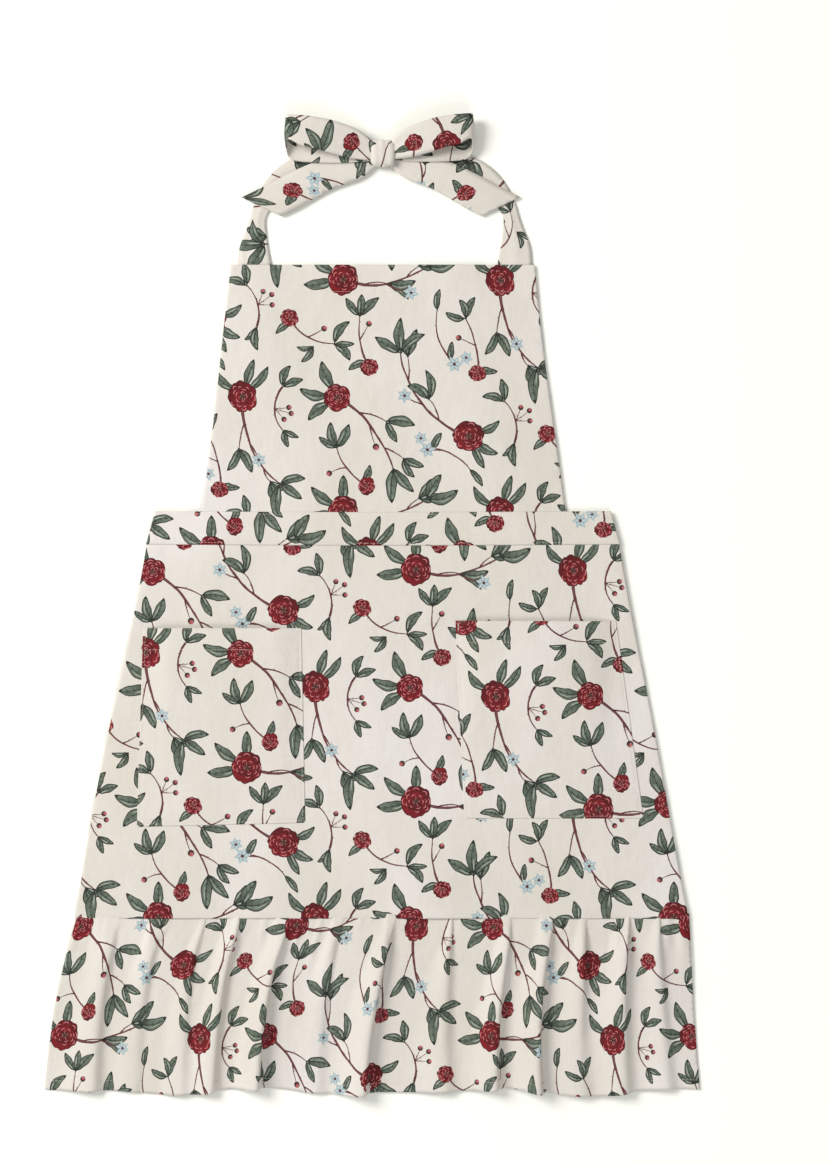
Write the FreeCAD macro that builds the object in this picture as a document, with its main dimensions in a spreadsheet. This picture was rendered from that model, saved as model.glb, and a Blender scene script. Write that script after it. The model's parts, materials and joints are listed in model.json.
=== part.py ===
"""A ruffled bib apron lying face up on a table.

Its neck ties are tied in a bow, and its waist ties are folded behind it.

Frame: +X to the wearer's left as seen from the front, +Y from hem to neck, +Z up out of the table.
The origin is at the middle of the footprint, on the table. Units are millimetres.
Every ply is flat. A hinge line stands just above the cloth at each seam where the apron folds.
"""
import FreeCAD, Part
import math
import os

import Sketcher

Vector = FreeCAD.Vector

# name: (value, meaning)
DRIVING = {
    "cloth": (0.5, "thickness of one ply of the printed cloth"),
    "folded": (0.8, "thickness of a hem, which is the edge turned under twice"),
    "strap": (1.0, "thickness of a tie, which is two plies turned right side out"),
    "tie_layer": (2.0, "height kept free under the skirt for the folded waist ties"),
    "clearance": (0.3, "gap between two wavy plies"),
    "seam_gap": (0.5, "gap at a seam that folds"),
    "hinge_rise": (0.6, "height of a fold line over the cloth"),
    "hem_y": (-501.0, "bottom edge of the ruffle"),
    "ruffle_drop": (184.0, "ruffle, seam to hem"),
    "ruffle_width": (669.0, "ruffle's width at the hem"),
    "ruffle_folds": (9.0, "folds across the ruffle"),
    "seam_wave": (1.0, "height of the folds at the ruffle's seam, up and down"),
    "hem_wave": (8.0, "height of the folds at the ruffle's hem, up and down"),
    "skirt_height": (380.0, "skirt, ruffle seam to waistband"),
    "skirt_low_width": (626.0, "skirt's width at the ruffle seam"),
    "skirt_top_width": (482.0, "skirt's width at the waistband"),
    "waist_height": (34.0, "waistband's height"),
    "waist_top_width": (463.0, "waistband's width along its top edge"),
    "interlining": (0.3, "thickness of the waistband's interlining"),
    "bib_height": (251.0, "bib, waistband to top edge"),
    "bib_low_width": (371.0, "bib's width at the waistband"),
    "bib_top_width": (312.0, "bib's width along its top edge"),
    "facing_height": (30.0, "turned-down facing along the bib's top edge"),
    "hem_width": (12.0, "width of the side hems"),
    "allowance": (10.0, "seam allowance"),
    "pocket_top_width": (165.0, "pocket's width along its mouth"),
    "pocket_low_width": (177.0, "pocket's width along its bottom edge"),
    "pocket_height": (200.0, "pocket, mouth to bottom"),
    "pocket_rim": (4.0, "flat margin by which a pocket is sewn on"),
    "pocket_slope": (18.0, "width of the slope from the margin up to the pocket's front"),
    "pocket_slack": (7.0, "how far a pocket's front stands off the skirt"),
    "pocket_hem": (22.0, "hem turned in along the pocket's mouth"),
    "pocket_left_x": (-162.0, "middle of the left pocket"),
    "pocket_left_y": (-122.0, "middle of the left pocket"),
    "pocket_left_lean": (-0.3, "turn of the left pocket, in degrees"),
    "pocket_right_x": (169.0, "middle of the right pocket"),
    "pocket_right_y": (-114.0, "middle of the right pocket"),
    "pocket_right_lean": (5.0, "turn of the right pocket, in degrees"),
    "tie_width": (34.0, "width of the neck and waist ties"),
    "neck_x": (130.0, "where a neck tie leaves the bib, from the middle"),
    "neck_corner_x": (117.0, "corner of a neck tie's route, from the middle"),
    "neck_corner_rise": (72.0, "corner of a neck tie's route, above the bib"),
    "neck_bend": (34.0, "radius of a neck tie's bend along its middle"),
    "neck_end": (28.0, "length of neck tie sewn behind the bib"),
    "knot_rise": (112.5, "middle of the knot, above the bib"),
    "knot_gap": (6.5, "distance from the knot to the middle of a neck tie's slanted end"),
    "knot_width": (23.0, "knot's width"),
    "knot_height": (27.0, "knot's height along the apron"),
    "knot_depth": (15.0, "knot's thickness"),
    "knot_round": (4.0, "rounding of the knot"),
    "loop_reach": (96.5, "bow loop's outer end, from the middle"),
    "loop_high": (40.5, "bow loop's upper corner, above the knot's middle"),
    "loop_low": (6.5, "bow loop's lower corner, below the knot's middle"),
    "loop_root_high": (9.0, "bow loop's upper edge at the knot"),
    "loop_root_low": (8.0, "bow loop's lower edge at the knot"),
    "loop_bottom": (4.0, "underside of a bow loop at its outer end"),
    "loop_top": (22.0, "upper side of a bow loop at its outer end"),
    "loop_root_bottom": (4.5, "underside of a bow loop at the knot"),
    "loop_root_top": (10.5, "upper side of a bow loop at the knot"),
    "tail_rise": (2.4, "underside of the bow's tails"),
    "tail_point_x": (143.0, "long point of a tail, from the middle"),
    "tail_point_y": (43.5, "long point of a tail, below the knot's middle"),
    "tail_heel_x": (101.0, "short corner of a tail's slanted end, from the middle"),
    "tail_heel_y": (63.0, "short corner of a tail's slanted end, below the knot's middle"),
    "tail_bend_x": (50.0, "where a tail's edges turn, from the middle"),
    "tail_bend_high": (1.5, "upper edge of a tail there, below the knot's middle"),
    "tail_bend_low": (34.5, "lower edge of a tail there, below the knot's middle"),
    "waist_tie_run": (380.0, "length of a waist tie once it is folded in half"),
    "waist_tie_ply": (0.7, "thickness of a pressed waist tie"),
    "waist_tie_slit": (0.2, "gap between a waist tie's two runs"),
    "waist_tie_inset": (22.0, "waist tie's pivot, in from the end of the waistband"),
    "waist_tie_lean": (70.0, "waist tie's slope below the waistband, in degrees"),
    "thread": (0.4, "width of a row of stitching"),
    "thread_rise": (0.2, "how far stitching stands off the cloth"),
    "edge_stitch": (2.0, "distance of a row of stitching from an edge"),
    "bartack": (7.0, "length of a bar tack"),
    "bartack_width": (1.6, "width of a bar tack"),
}


class Formula:
    """A number with the spreadsheet expression that it comes from."""

    def __init__(self, value, text):
        self.value = value
        self.text = text

    def join(self, sign, other, value):
        return Formula(value, f"({self.text} {sign} {other.text})")

    def __add__(self, other):
        other = formula(other)
        return self.join("+", other, self.value + other.value)

    def __sub__(self, other):
        other = formula(other)
        return self.join("-", other, self.value - other.value)

    def __mul__(self, other):
        other = formula(other)
        return self.join("*", other, self.value * other.value)

    def __truediv__(self, other):
        other = formula(other)
        return self.join("/", other, self.value / other.value)

    def __neg__(self):
        return Formula(-self.value, f"(-1 * {self.text})")


def formula(number):
    """A Formula as it is, and a plain number as a constant one."""
    return number if isinstance(number, Formula) else Formula(number, repr(float(number)))


def make_sheet(doc):
    """The spreadsheet of driving dimensions, and a Formula for each."""
    sheet = doc.addObject("Spreadsheet::Sheet", "Sizes")
    found = {}
    for row, (alias, (value, meaning)) in enumerate(DRIVING.items(), start=1):
        sheet.set(f"A{row}", meaning)
        sheet.set(f"B{row}", str(value))
        sheet.setAlias(f"B{row}", alias)
        found[alias] = Formula(value, f"Sizes.{alias}")
    return found


doc = FreeCAD.newDocument("Apron")
size = make_sheet(doc)
doc.recompute()

# Heights of the plies, from the table up.
Z_UNDER = size["tie_layer"]
Z_PANEL = Z_UNDER + size["folded"]
Z_FRONT = Z_PANEL + size["cloth"]
Z_BAND = Z_FRONT + size["cloth"]
Z_STRAP_END = Z_UNDER - size["strap"]

# Lines across the apron, from the hem up.
Y_SEAM = size["hem_y"] + size["ruffle_drop"]
Y_WAIST = Y_SEAM + size["skirt_height"]
Y_BIB = Y_WAIST + size["waist_height"]
Y_BIB_TOP = Y_BIB + size["bib_height"]
Y_KNOT = Y_BIB_TOP + size["knot_rise"]


def plane(body, role):
    """One of a body's own origin planes."""
    return next(o for o in body.Origin.OriginFeatures if o.Role == role)


def outline(body, points, height, role="XY_Plane"):
    """A sketch of a closed outline whose corners are (x, y) formulas, at a height over its plane."""
    sketch = body.newObject("Sketcher::SketchObject", "Outline")
    sketch.AttachmentSupport = (plane(body, role), [""])
    sketch.MapMode = "FlatFace"
    sketch.setExpression("AttachmentOffset.Base.z", formula(height).text)
    corners = [(formula(x), formula(y)) for x, y in points]
    places = [Vector(x.value, y.value, 0) for x, y in corners]
    for i, start in enumerate(places):
        sketch.addGeometry(Part.LineSegment(start, places[(i + 1) % len(places)]))
    for i in range(len(places)):
        sketch.addConstraint(Sketcher.Constraint("Coincident", i, 2, (i + 1) % len(places), 1))
    for i, corner in enumerate(corners):
        for kind, amount in zip(("DistanceX", "DistanceY"), corner):
            index = sketch.addConstraint(Sketcher.Constraint(kind, -1, 1, i, 1, amount.value))
            sketch.setExpression(f"Constraints[{index}]", amount.text)
    return sketch


def new_body(label):
    body = doc.addObject("PartDesign::Body", label)
    body.Label = label
    body.AllowCompound = True
    return body


def pad(body, sketch, thickness):
    """Pads a sketch upwards by a formula."""
    feature = body.newObject("PartDesign::Pad", "Pad")
    feature.Profile = sketch
    feature.setExpression("Length", formula(thickness).text)
    return feature


def flat_ply(label, points, height, thickness):
    """A flat ply: one outline or several, padded up from a height."""
    body = new_body(label)
    outlines = points if isinstance(points[0][0], tuple) else [points]
    for corners in outlines:
        pad(body, outline(body, corners, height), thickness)
    return body


def trapezium(low_width, top_width, low_y, top_y):
    """Corners of a ply that is symmetric about the apron's middle."""
    return [
        (low_width / -2, low_y),
        (low_width / 2, low_y),
        (top_width / 2, top_y),
        (top_width / -2, top_y),
    ]


def width_at(y, low_width, top_width, low_y, height):
    """A trapezium's width at a line across it."""
    return low_width + (top_width - low_width) * ((y - low_y) / height)


def skirt_width(y):
    return width_at(y, size["skirt_low_width"], size["skirt_top_width"], Y_SEAM, size["skirt_height"])


def bib_width(y):
    return width_at(y, size["bib_low_width"], size["bib_top_width"], Y_BIB, size["bib_height"])


def side_hem(label, side, width_of, low_y, top_y):
    """The hem behind one slanted side of a panel. side is -1 for the left and 1 for the right."""
    low, top = width_of(low_y) / 2, width_of(top_y) / 2
    inner = [(low - size["hem_width"], low_y), (top - size["hem_width"], top_y)]
    corners = [inner[0], (low, low_y), (top, top_y), inner[1]]
    return flat_ply(label, [(x * side, y) for x, y in corners], Z_UNDER, size["folded"])


def make_skirt():
    tucked = Y_WAIST + size["allowance"]
    flat_ply(
        "skirt_panel",
        trapezium(size["skirt_low_width"], skirt_width(tucked), Y_SEAM, tucked),
        Z_PANEL,
        size["cloth"],
    )
    for name, side in (("left", -1), ("right", 1)):
        side_hem(f"skirt_hem_{name}", side, skirt_width, Y_SEAM, Y_WAIST)
    turned_up = Y_SEAM + size["allowance"]
    between = size["hem_width"] * 2
    flat_ply(
        "ruffle_seam_allowance",
        trapezium(
            skirt_width(Y_SEAM) - between, skirt_width(turned_up) - between, Y_SEAM, turned_up
        ),
        Z_UNDER,
        size["folded"],
    )


def make_waistband():
    band = trapezium(size["skirt_top_width"], size["waist_top_width"], Y_WAIST, Y_BIB)
    inside = trapezium(
        size["skirt_top_width"] - size["edge_stitch"] * 4,
        size["waist_top_width"] - size["edge_stitch"] * 4,
        Y_WAIST + size["edge_stitch"],
        Y_BIB - size["edge_stitch"],
    )
    flat_ply("waistband_facing", band, Z_UNDER, size["cloth"])
    flat_ply("waistband_interlining", inside, Z_UNDER + size["cloth"], size["interlining"])
    flat_ply("waistband_front", band, Z_FRONT, size["cloth"])
    flat_ply(
        "bib_seam_allowance",
        trapezium(
            size["bib_low_width"],
            size["bib_low_width"],
            Y_BIB - size["allowance"],
            Y_BIB - size["seam_gap"],
        ),
        Z_PANEL,
        size["cloth"],
    )


def row_of_stitches(width, y):
    """A straight row of stitching across the apron, as one narrow outline."""
    return trapezium(width, width, y, y + size["thread"])


def make_topstitching():
    inset = size["edge_stitch"] * 2
    rows = [
        row_of_stitches(size["skirt_top_width"] - inset, Y_WAIST + size["edge_stitch"]),
        row_of_stitches(
            size["waist_top_width"] - inset, Y_BIB - size["edge_stitch"] - size["thread"]
        ),
    ]
    flat_ply("waistband_stitching", rows, Z_BAND, size["thread_rise"])
    y = Y_BIB_TOP - size["facing_height"] + size["edge_stitch"]
    flat_ply("bib_stitching", row_of_stitches(bib_width(y) - inset, y), Z_FRONT, size["thread_rise"])


def make_bib():
    flat_ply(
        "bib_panel",
        trapezium(
            size["bib_low_width"], size["bib_top_width"], Y_BIB + size["seam_gap"], Y_BIB_TOP
        ),
        Z_PANEL,
        size["cloth"],
    )
    turned = Y_BIB_TOP - size["facing_height"]
    flat_ply(
        "bib_top_facing",
        trapezium(bib_width(turned), size["bib_top_width"], turned, Y_BIB_TOP),
        Z_UNDER,
        size["folded"],
    )
    for name, side in (("left", -1), ("right", 1)):
        side_hem(f"bib_hem_{name}", side, bib_width, Y_BIB + size["seam_gap"], turned)
        sewn_in = [
            (size["neck_x"] - size["tie_width"] / 2, Y_BIB_TOP - size["neck_end"]),
            (size["neck_x"] + size["tie_width"] / 2, Y_BIB_TOP - size["neck_end"]),
            (size["neck_x"] + size["tie_width"] / 2, Y_BIB_TOP),
            (size["neck_x"] - size["tie_width"] / 2, Y_BIB_TOP),
        ]
        flat_ply(
            f"neck_tie_end_{name}", [(x * side, y) for x, y in sewn_in], Z_STRAP_END, size["strap"]
        )


def pocket_corners(inset, past_mouth):
    """A pocket's outline about its own middle, drawn in from its edges, and past its mouth."""
    low, top = size["pocket_low_width"] / 2 - inset, size["pocket_top_width"] / 2 - inset
    low_y = size["pocket_height"] / -2 + inset
    top_y = size["pocket_height"] / 2 + past_mouth
    return [(-low, low_y), (low, low_y), (top, top_y), (-top, top_y)]


def loft(body, kind, sketches):
    feature = body.newObject(kind, "Loft")
    feature.Profile = sketches[0]
    feature.Sections = sketches[1:]
    feature.Ruled = True
    return feature


def pocket_place(name, height):
    """Where a pocket's own middle lies, on the skirt's face plus a height."""
    return FreeCAD.Placement(
        Vector(
            size[f"pocket_{name}_x"].value, size[f"pocket_{name}_y"].value, formula(height).value
        ),
        FreeCAD.Rotation(Vector(0, 0, 1), size[f"pocket_{name}_lean"].value),
    )


def make_pocket(name):
    """A patch pocket: a sewn margin, and a front that stands off the skirt and is open at its top."""
    body = new_body(f"pocket_{name}")
    pad(body, outline(body, pocket_corners(0, 0), 0), size["cloth"])
    rim = size["pocket_rim"]
    front = rim + size["pocket_slope"]
    slack = size["pocket_slack"]
    loft(
        body,
        "PartDesign::AdditiveLoft",
        [
            outline(body, pocket_corners(rim, 0), 0),
            outline(body, pocket_corners(front, 0), slack + size["cloth"]),
        ],
    )
    doc.recompute()
    solid_volume = body.Shape.Volume
    past = size["pocket_rim"]
    loft(
        body,
        "PartDesign::SubtractiveLoft",
        [
            outline(body, pocket_corners(rim + size["cloth"], past), 0),
            outline(body, pocket_corners(front + size["cloth"], past), slack),
        ],
    )
    doc.recompute()
    if body.Shape.Volume > solid_volume / 2:
        raise RuntimeError(f"pocket_{name} is not hollow")
    body.Placement = pocket_place(name, Z_FRONT)

    gap = size["cloth"] * 2
    hem = new_body(f"pocket_hem_{name}")
    half = size["pocket_top_width"] / 2 - front - gap
    top = size["pocket_height"] / 2
    corners = [(-half, top - size["pocket_hem"]), (half, top - size["pocket_hem"]), (half, top), (-half, top)]
    pad(hem, outline(hem, corners, slack - size["folded"]), size["folded"])
    hem.Placement = pocket_place(name, Z_FRONT)

    stitching = new_body(f"pocket_stitching_{name}")
    outer, inner = size["edge_stitch"], size["edge_stitch"] + size["thread"]
    far, near = pocket_corners(outer, -size["bartack"]), pocket_corners(inner, -size["bartack"])
    row = [far[0], far[1], far[2], near[2], near[1], near[0], near[3], far[3]]
    pad(stitching, outline(stitching, row, size["cloth"]), size["thread_rise"])
    stitching.Placement = pocket_place(name, Z_FRONT)

    tacks = new_body(f"pocket_bartacks_{name}")
    half = size["bartack_width"] / 2
    low = top - size["bartack"] + size["thread"]
    for side in (-1, 1):
        middle = (size["pocket_top_width"] / 2 - size["edge_stitch"]) * side
        corners = [(middle - half, low), (middle + half, low), (middle + half, top), (middle - half, top)]
        pad(tacks, outline(tacks, corners, size["cloth"]), size["thread_rise"])
    tacks.Placement = pocket_place(name, Z_FRONT)


def wave_sheet(low_share, high_share, drop, thickness):
    """A sheet of the ruffle between two shares of its depth, from 0 at the seam to 1 at the hem.

    The folds are a sine wave that grows towards the hem. drop lowers the sheet to the ply below.
    """
    folds = size["ruffle_folds"].value
    per_fold = 8
    count = int(folds * per_fold)
    seam_z = Z_PANEL.value + size["cloth"].value / 2
    hem_z = size["hem_wave"].value + size["cloth"].value * 2.5 + size["clearance"].value
    start_y = Y_SEAM.value - size["seam_gap"].value

    def mixed(share, at_seam, at_hem):
        return at_seam + (at_hem - at_seam) * share

    def rim(share, height):
        half = mixed(share, size["skirt_low_width"].value, size["ruffle_width"].value) / 2
        wave = mixed(share, size["seam_wave"].value, size["hem_wave"].value)
        middle = mixed(share, seam_z, hem_z)
        y = mixed(share, start_y, size["hem_y"].value)
        points = []
        for i in range(count + 1):
            across = i / count * 2 - 1
            phase = math.pi * folds * across
            points.append(Vector(half * across, y, middle + wave * math.sin(phase) + height))
        curve = Part.BSplineCurve()
        curve.interpolate(points)
        return curve.toShape()

    def section(share):
        low, high = rim(share, -drop - thickness / 2), rim(share, -drop + thickness / 2)
        ends = [
            Part.makeLine(low.Vertexes[k].Point, high.Vertexes[k].Point) for k in (0, -1)
        ]
        return Part.Wire([low, ends[1], high, ends[0]])

    sheet = Part.makeLoft([section(low_share), section(high_share)], True, True)
    return sheet


def make_ruffle():
    ply = size["cloth"].value
    ruffle = doc.addObject("Part::Feature", "ruffle")
    ruffle.Label = "ruffle"
    ruffle.Shape = wave_sheet(0.0, 1.0, 0.0, ply)
    hem = doc.addObject("Part::Feature", "ruffle_hem")
    hem.Label = "ruffle_hem"
    start = 1.0 - size["hem_width"].value / size["ruffle_drop"].value
    hem.Shape = wave_sheet(start, 1.0, ply * 1.5 + size["clearance"].value, ply * 2)


def neck_route(side):
    """A neck tie's route: up from the bib, round one bend and along to the knot."""
    start = Vector(side * size["neck_x"].value, Y_BIB_TOP.value + size["seam_gap"].value, 0)
    corner = Vector(
        side * size["neck_corner_x"].value, Y_BIB_TOP.value + size["neck_corner_rise"].value, 0
    )
    knot_side = (size["knot_width"] / 2 + size["knot_gap"]).value
    end = Vector(side * knot_side, Y_KNOT.value, 0)
    before, after = (corner - start).normalize(), (end - corner).normalize()
    half_turn = before.getAngle(after) / 2
    radius = size["neck_bend"].value
    reach = radius * math.tan(half_turn)
    first, last = corner - before * reach, corner + after * reach
    bisector = (after - before).normalize()
    middle = corner + bisector * (radius / math.cos(half_turn) - radius)
    return [
        Part.LineSegment(start, first),
        Part.Arc(first, middle, last),
        Part.LineSegment(last, end),
    ]


def make_neck_tie(name, side):
    """A flat band swept along its route, lying on the table."""
    body = new_body(f"neck_tie_{name}")
    path = body.newObject("Sketcher::SketchObject", "Route")
    path.AttachmentSupport = (plane(body, "XY_Plane"), [""])
    path.MapMode = "FlatFace"
    path.setExpression("AttachmentOffset.Base.z", Z_STRAP_END.text)
    for piece in neck_route(side):
        path.addGeometry(piece)
    # An arc runs anticlockwise, so the left tie's arc starts at its far end.
    near, far = (1, 2) if side > 0 else (2, 1)
    path.addConstraint(Sketcher.Constraint("Coincident", 0, 2, 1, near))
    path.addConstraint(Sketcher.Constraint("Coincident", 1, far, 2, 1))
    half = size["tie_width"] / 2
    x, y = size["neck_x"] * side, Y_BIB_TOP + size["seam_gap"]
    corners = [
        (x - half, Z_STRAP_END),
        (x + half, Z_STRAP_END),
        (x + half, Z_STRAP_END + size["strap"]),
        (x - half, Z_STRAP_END + size["strap"]),
    ]
    profile = outline(body, corners, -y, "XZ_Plane")
    pipe = body.newObject("PartDesign::AdditivePipe", "Band")
    pipe.Profile = profile
    pipe.Spine = (path, ["Edge1", "Edge2", "Edge3"])
    return body


def make_bow():
    knot = new_body("bow_knot")
    half_x, half_y = size["knot_width"] / 2, size["knot_height"] / 2
    corners = [
        (-half_x, Y_KNOT - half_y),
        (half_x, Y_KNOT - half_y),
        (half_x, Y_KNOT + half_y),
        (-half_x, Y_KNOT + half_y),
    ]
    block = pad(knot, outline(knot, corners, 0), size["knot_depth"])
    doc.recompute()
    rounding = knot.newObject("PartDesign::Fillet", "Rounding")
    rounding.Base = (block, [f"Edge{i + 1}" for i in range(len(block.Shape.Edges))])
    rounding.setExpression("Radius", size["knot_round"].text)
    for name, side in (("left", -1), ("right", 1)):
        make_neck_tie(name, side)
        make_loop(name, side)
        make_tail(name, side)


def make_loop(name, side):
    """A bow loop: two plies joined by the turn at the outer end, open along both edges."""
    body = new_body(f"bow_loop_{name}")
    ply, past = size["strap"], size["tie_width"]
    root_x, end_x = size["knot_width"] / 2, size["loop_reach"]

    def section(x, low, high, bottom, top):
        # A YZ sketch has the apron's Y along its x and the height along its y.
        corners = [(Y_KNOT - low, bottom), (Y_KNOT + high, bottom), (Y_KNOT + high, top), (Y_KNOT - low, top)]
        return outline(body, corners, x * side, "YZ_Plane")

    root = [size["loop_root_low"], size["loop_root_high"]]
    end = [size["loop_low"], size["loop_high"]]
    loft(
        body,
        "PartDesign::AdditiveLoft",
        [
            section(root_x, *root, size["loop_root_bottom"], size["loop_root_top"]),
            section(end_x, *end, size["loop_bottom"], size["loop_top"]),
        ],
    )
    inner_end = end_x - ply
    loft(
        body,
        "PartDesign::SubtractiveLoft",
        [
            section(
                root_x, *[w + past for w in root], size["loop_root_bottom"] + ply, size["loop_root_top"] - ply
            ),
            section(inner_end, *[w + past for w in end], size["loop_bottom"] + ply, size["loop_top"] - ply),
        ],
    )
    return body


def make_tail(name, side):
    """A bow tail, cut at a slant, lying on the neck tie."""
    root_x = size["knot_width"] / 2
    corners = [
        (root_x, Y_KNOT + size["edge_stitch"]),
        (size["tail_bend_x"], Y_KNOT - size["tail_bend_high"]),
        (size["tail_point_x"], Y_KNOT - size["tail_point_y"]),
        (size["tail_heel_x"], Y_KNOT - size["tail_heel_y"]),
        (size["tail_bend_x"], Y_KNOT - size["tail_bend_low"]),
        (root_x, Y_KNOT - size["knot_height"] / 2),
    ]
    flat_ply(f"bow_tail_{name}", [(x * side, y) for x, y in corners], size["tail_rise"], size["strap"])


def make_waist_tie(name, side):
    """A waist tie folded in half: a long flat slab, slit from its free end almost to the fold."""
    ply, slit, run = size["waist_tie_ply"], size["waist_tie_slit"], size["waist_tie_run"]
    slab = doc.addObject("Part::Box", f"tie_slab_{name}")
    slab.setExpression("Length", run.text)
    slab.setExpression("Width", size["tie_width"].text)
    slab.setExpression("Height", (ply * 2 + slit).text)
    gap = doc.addObject("Part::Box", f"tie_gap_{name}")
    gap.setExpression("Length", (run - ply).text)
    gap.setExpression("Width", (size["tie_width"] + 2).text)
    gap.setExpression("Height", slit.text)
    gap.Placement.Base = Vector(0, -1, ply.value)
    tie = doc.addObject("Part::Cut", f"waist_tie_{name}")
    tie.Label = f"waist_tie_{name}"
    tie.Base = slab
    tie.Tool = gap
    lean = size["waist_tie_lean"].value
    turn = FreeCAD.Rotation(Vector(0, 0, 1), -lean if side < 0 else lean - 180)
    pivot_x, pivot_y = waist_tie_pivot(side)
    back = turn.multVec(Vector(-size["tie_width"].value / 4, -size["tie_width"].value / 2, 0))
    tie.Placement = FreeCAD.Placement(Vector(pivot_x, pivot_y, 0) + back, turn)


def waist_tie_pivot(side):
    """Where a waist tie is sewn on and swings: inside the end of the waistband."""
    half = (size["skirt_top_width"].value + size["waist_top_width"].value) / 4
    return side * (half - size["waist_tie_inset"].value), (Y_WAIST.value + Y_BIB.value) / 2


def export(labels):
    """Checks each part's solid and writes it to parts/LABEL.step."""
    doc.recompute()
    broken = [o.Label for o in doc.Objects if "Invalid" in o.State or "Error" in o.State]
    if broken:
        raise RuntimeError(f"these objects failed: {broken}")
    os.makedirs("parts", exist_ok=True)
    for label in labels:
        shape = doc.getObjectsByLabel(label)[0].Shape
        if shape.isNull() or not shape.isValid() or shape.Volume <= 0 or not shape.Solids:
            raise RuntimeError(f"{label} has no valid solid")
        shape.exportStep(f"parts/{label}.step")


make_skirt()
make_waistband()
make_topstitching()
make_bib()
for pocket in ("left", "right"):
    make_pocket(pocket)
make_ruffle()
make_bow()
for tie_name, tie_side in (("left", -1), ("right", 1)):
    make_waist_tie(tie_name, tie_side)

PARTS = [o.Label for o in doc.Objects if o.TypeId in ("PartDesign::Body", "Part::Feature", "Part::Cut")]
export(PARTS)
print(len(PARTS), "parts; neck fold at", Y_BIB_TOP.value, "bib fold at", Y_BIB.value)
print("ruffle fold at", Y_SEAM.value, "waist tie pivots at", waist_tie_pivot(-1), waist_tie_pivot(1))
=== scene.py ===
"""A ruffled bib apron with a rose print, lying face up on a pale table and seen from straight above.

Every piece of cloth is cut flat, in metres: its outline and the printed motifs inside it are triangulated
together, so that the print's edges are mesh edges. The flat piece is then laid, gathered, folded or tied by
mapping each of its points to where that point of the cloth lies.
"""
import json
import random
from math import ceil, cos, pi, sin

import bpy
import numpy as np
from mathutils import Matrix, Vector
from mathutils.geometry import delaunay_2d_cdt


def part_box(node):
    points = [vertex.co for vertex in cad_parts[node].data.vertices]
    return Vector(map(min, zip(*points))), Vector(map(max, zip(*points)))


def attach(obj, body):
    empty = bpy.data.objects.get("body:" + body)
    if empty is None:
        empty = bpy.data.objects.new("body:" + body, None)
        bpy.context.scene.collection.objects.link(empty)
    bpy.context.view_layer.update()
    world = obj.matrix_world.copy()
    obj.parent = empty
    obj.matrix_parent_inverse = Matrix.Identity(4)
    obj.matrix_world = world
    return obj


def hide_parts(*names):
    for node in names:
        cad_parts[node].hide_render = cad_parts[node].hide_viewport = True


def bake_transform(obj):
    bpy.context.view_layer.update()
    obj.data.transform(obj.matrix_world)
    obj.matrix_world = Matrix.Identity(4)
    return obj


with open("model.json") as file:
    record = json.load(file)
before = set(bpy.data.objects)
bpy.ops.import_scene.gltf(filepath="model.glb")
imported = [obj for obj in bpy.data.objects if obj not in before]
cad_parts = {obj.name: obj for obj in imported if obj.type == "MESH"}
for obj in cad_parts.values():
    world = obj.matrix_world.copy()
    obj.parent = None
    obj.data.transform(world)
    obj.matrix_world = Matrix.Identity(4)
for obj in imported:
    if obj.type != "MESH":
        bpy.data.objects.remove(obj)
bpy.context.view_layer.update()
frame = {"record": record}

MM = 0.001


# ---------------------------------------------------------------------------------------------- places
def side_of(node, axis, high):
    """One side of a CAD node's box, in metres."""
    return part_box(node)[1 if high else 0][axis]


X, Y, Z = 0, 1, 2
SEAM_Y = side_of("skirt_panel", Y, False)
WAIST_Y = side_of("waistband_front", Y, False)
BIB_Y = side_of("waistband_front", Y, True)
BIB_TOP_Y = side_of("bib_panel", Y, True)
KNOT = (Vector(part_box("bow_knot")[0]) + Vector(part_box("bow_knot")[1])) / 2
PANEL_Z = side_of("skirt_panel", Z, True)
BAND_Z = side_of("waistband_front", Z, True)
SKIRT_HALF = side_of("skirt_panel", X, True)
WAIST_HALF = side_of("waistband_front", X, True)
BIB_HALF = side_of("bib_panel", X, True)
BIB_TOP_HALF = 0.1545


# ------------------------------------------------------------------------------------- camera and light
# The picture's frame is 830 x 1165 pixels, and the apron fills most of its height.
FRAME_HEIGHT = 1.186
CAMERA_HEIGHT = 3.0
SENSOR = 36.0


def new_object(name, data):
    made = bpy.data.objects.new(name, data)
    bpy.context.collection.objects.link(made)
    return made


camera = new_object("camera", bpy.data.cameras.new("camera"))
bpy.context.scene.camera = camera
camera.location = (0.0326, 0.0248, CAMERA_HEIGHT)
camera.data.sensor_width = SENSOR
camera.data.lens = SENSOR * CAMERA_HEIGHT / FRAME_HEIGHT

view = bpy.context.scene.view_settings
view.view_transform = "Standard"
view.look = "None"
view.exposure = 0.0


def area_light(name, place, size, power, colour):
    data = bpy.data.lights.new(name, "AREA")
    data.shape = "DISK"
    data.size = size
    data.energy = power
    data.color = colour
    lamp = new_object(name, data)
    lamp.location = place
    lamp.rotation_euler = (-Vector(place)).to_track_quat("-Z", "Y").to_euler()
    lamp.visible_camera = False


area_light("window", (-2.7, 1.5, 2.6), 2.2, 158.0, (1.0, 0.985, 0.96))
area_light("fill", (0.6, -2.4, 2.6), 2.4, 38.0, (0.97, 0.985, 1.0))

world = bpy.data.worlds.new("sky")
bpy.context.scene.world = world
world.use_nodes = True
world.node_tree.nodes["Background"].inputs["Color"].default_value = (1.0, 0.995, 0.985, 1)
world.node_tree.nodes["Background"].inputs["Strength"].default_value = 0.43


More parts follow.
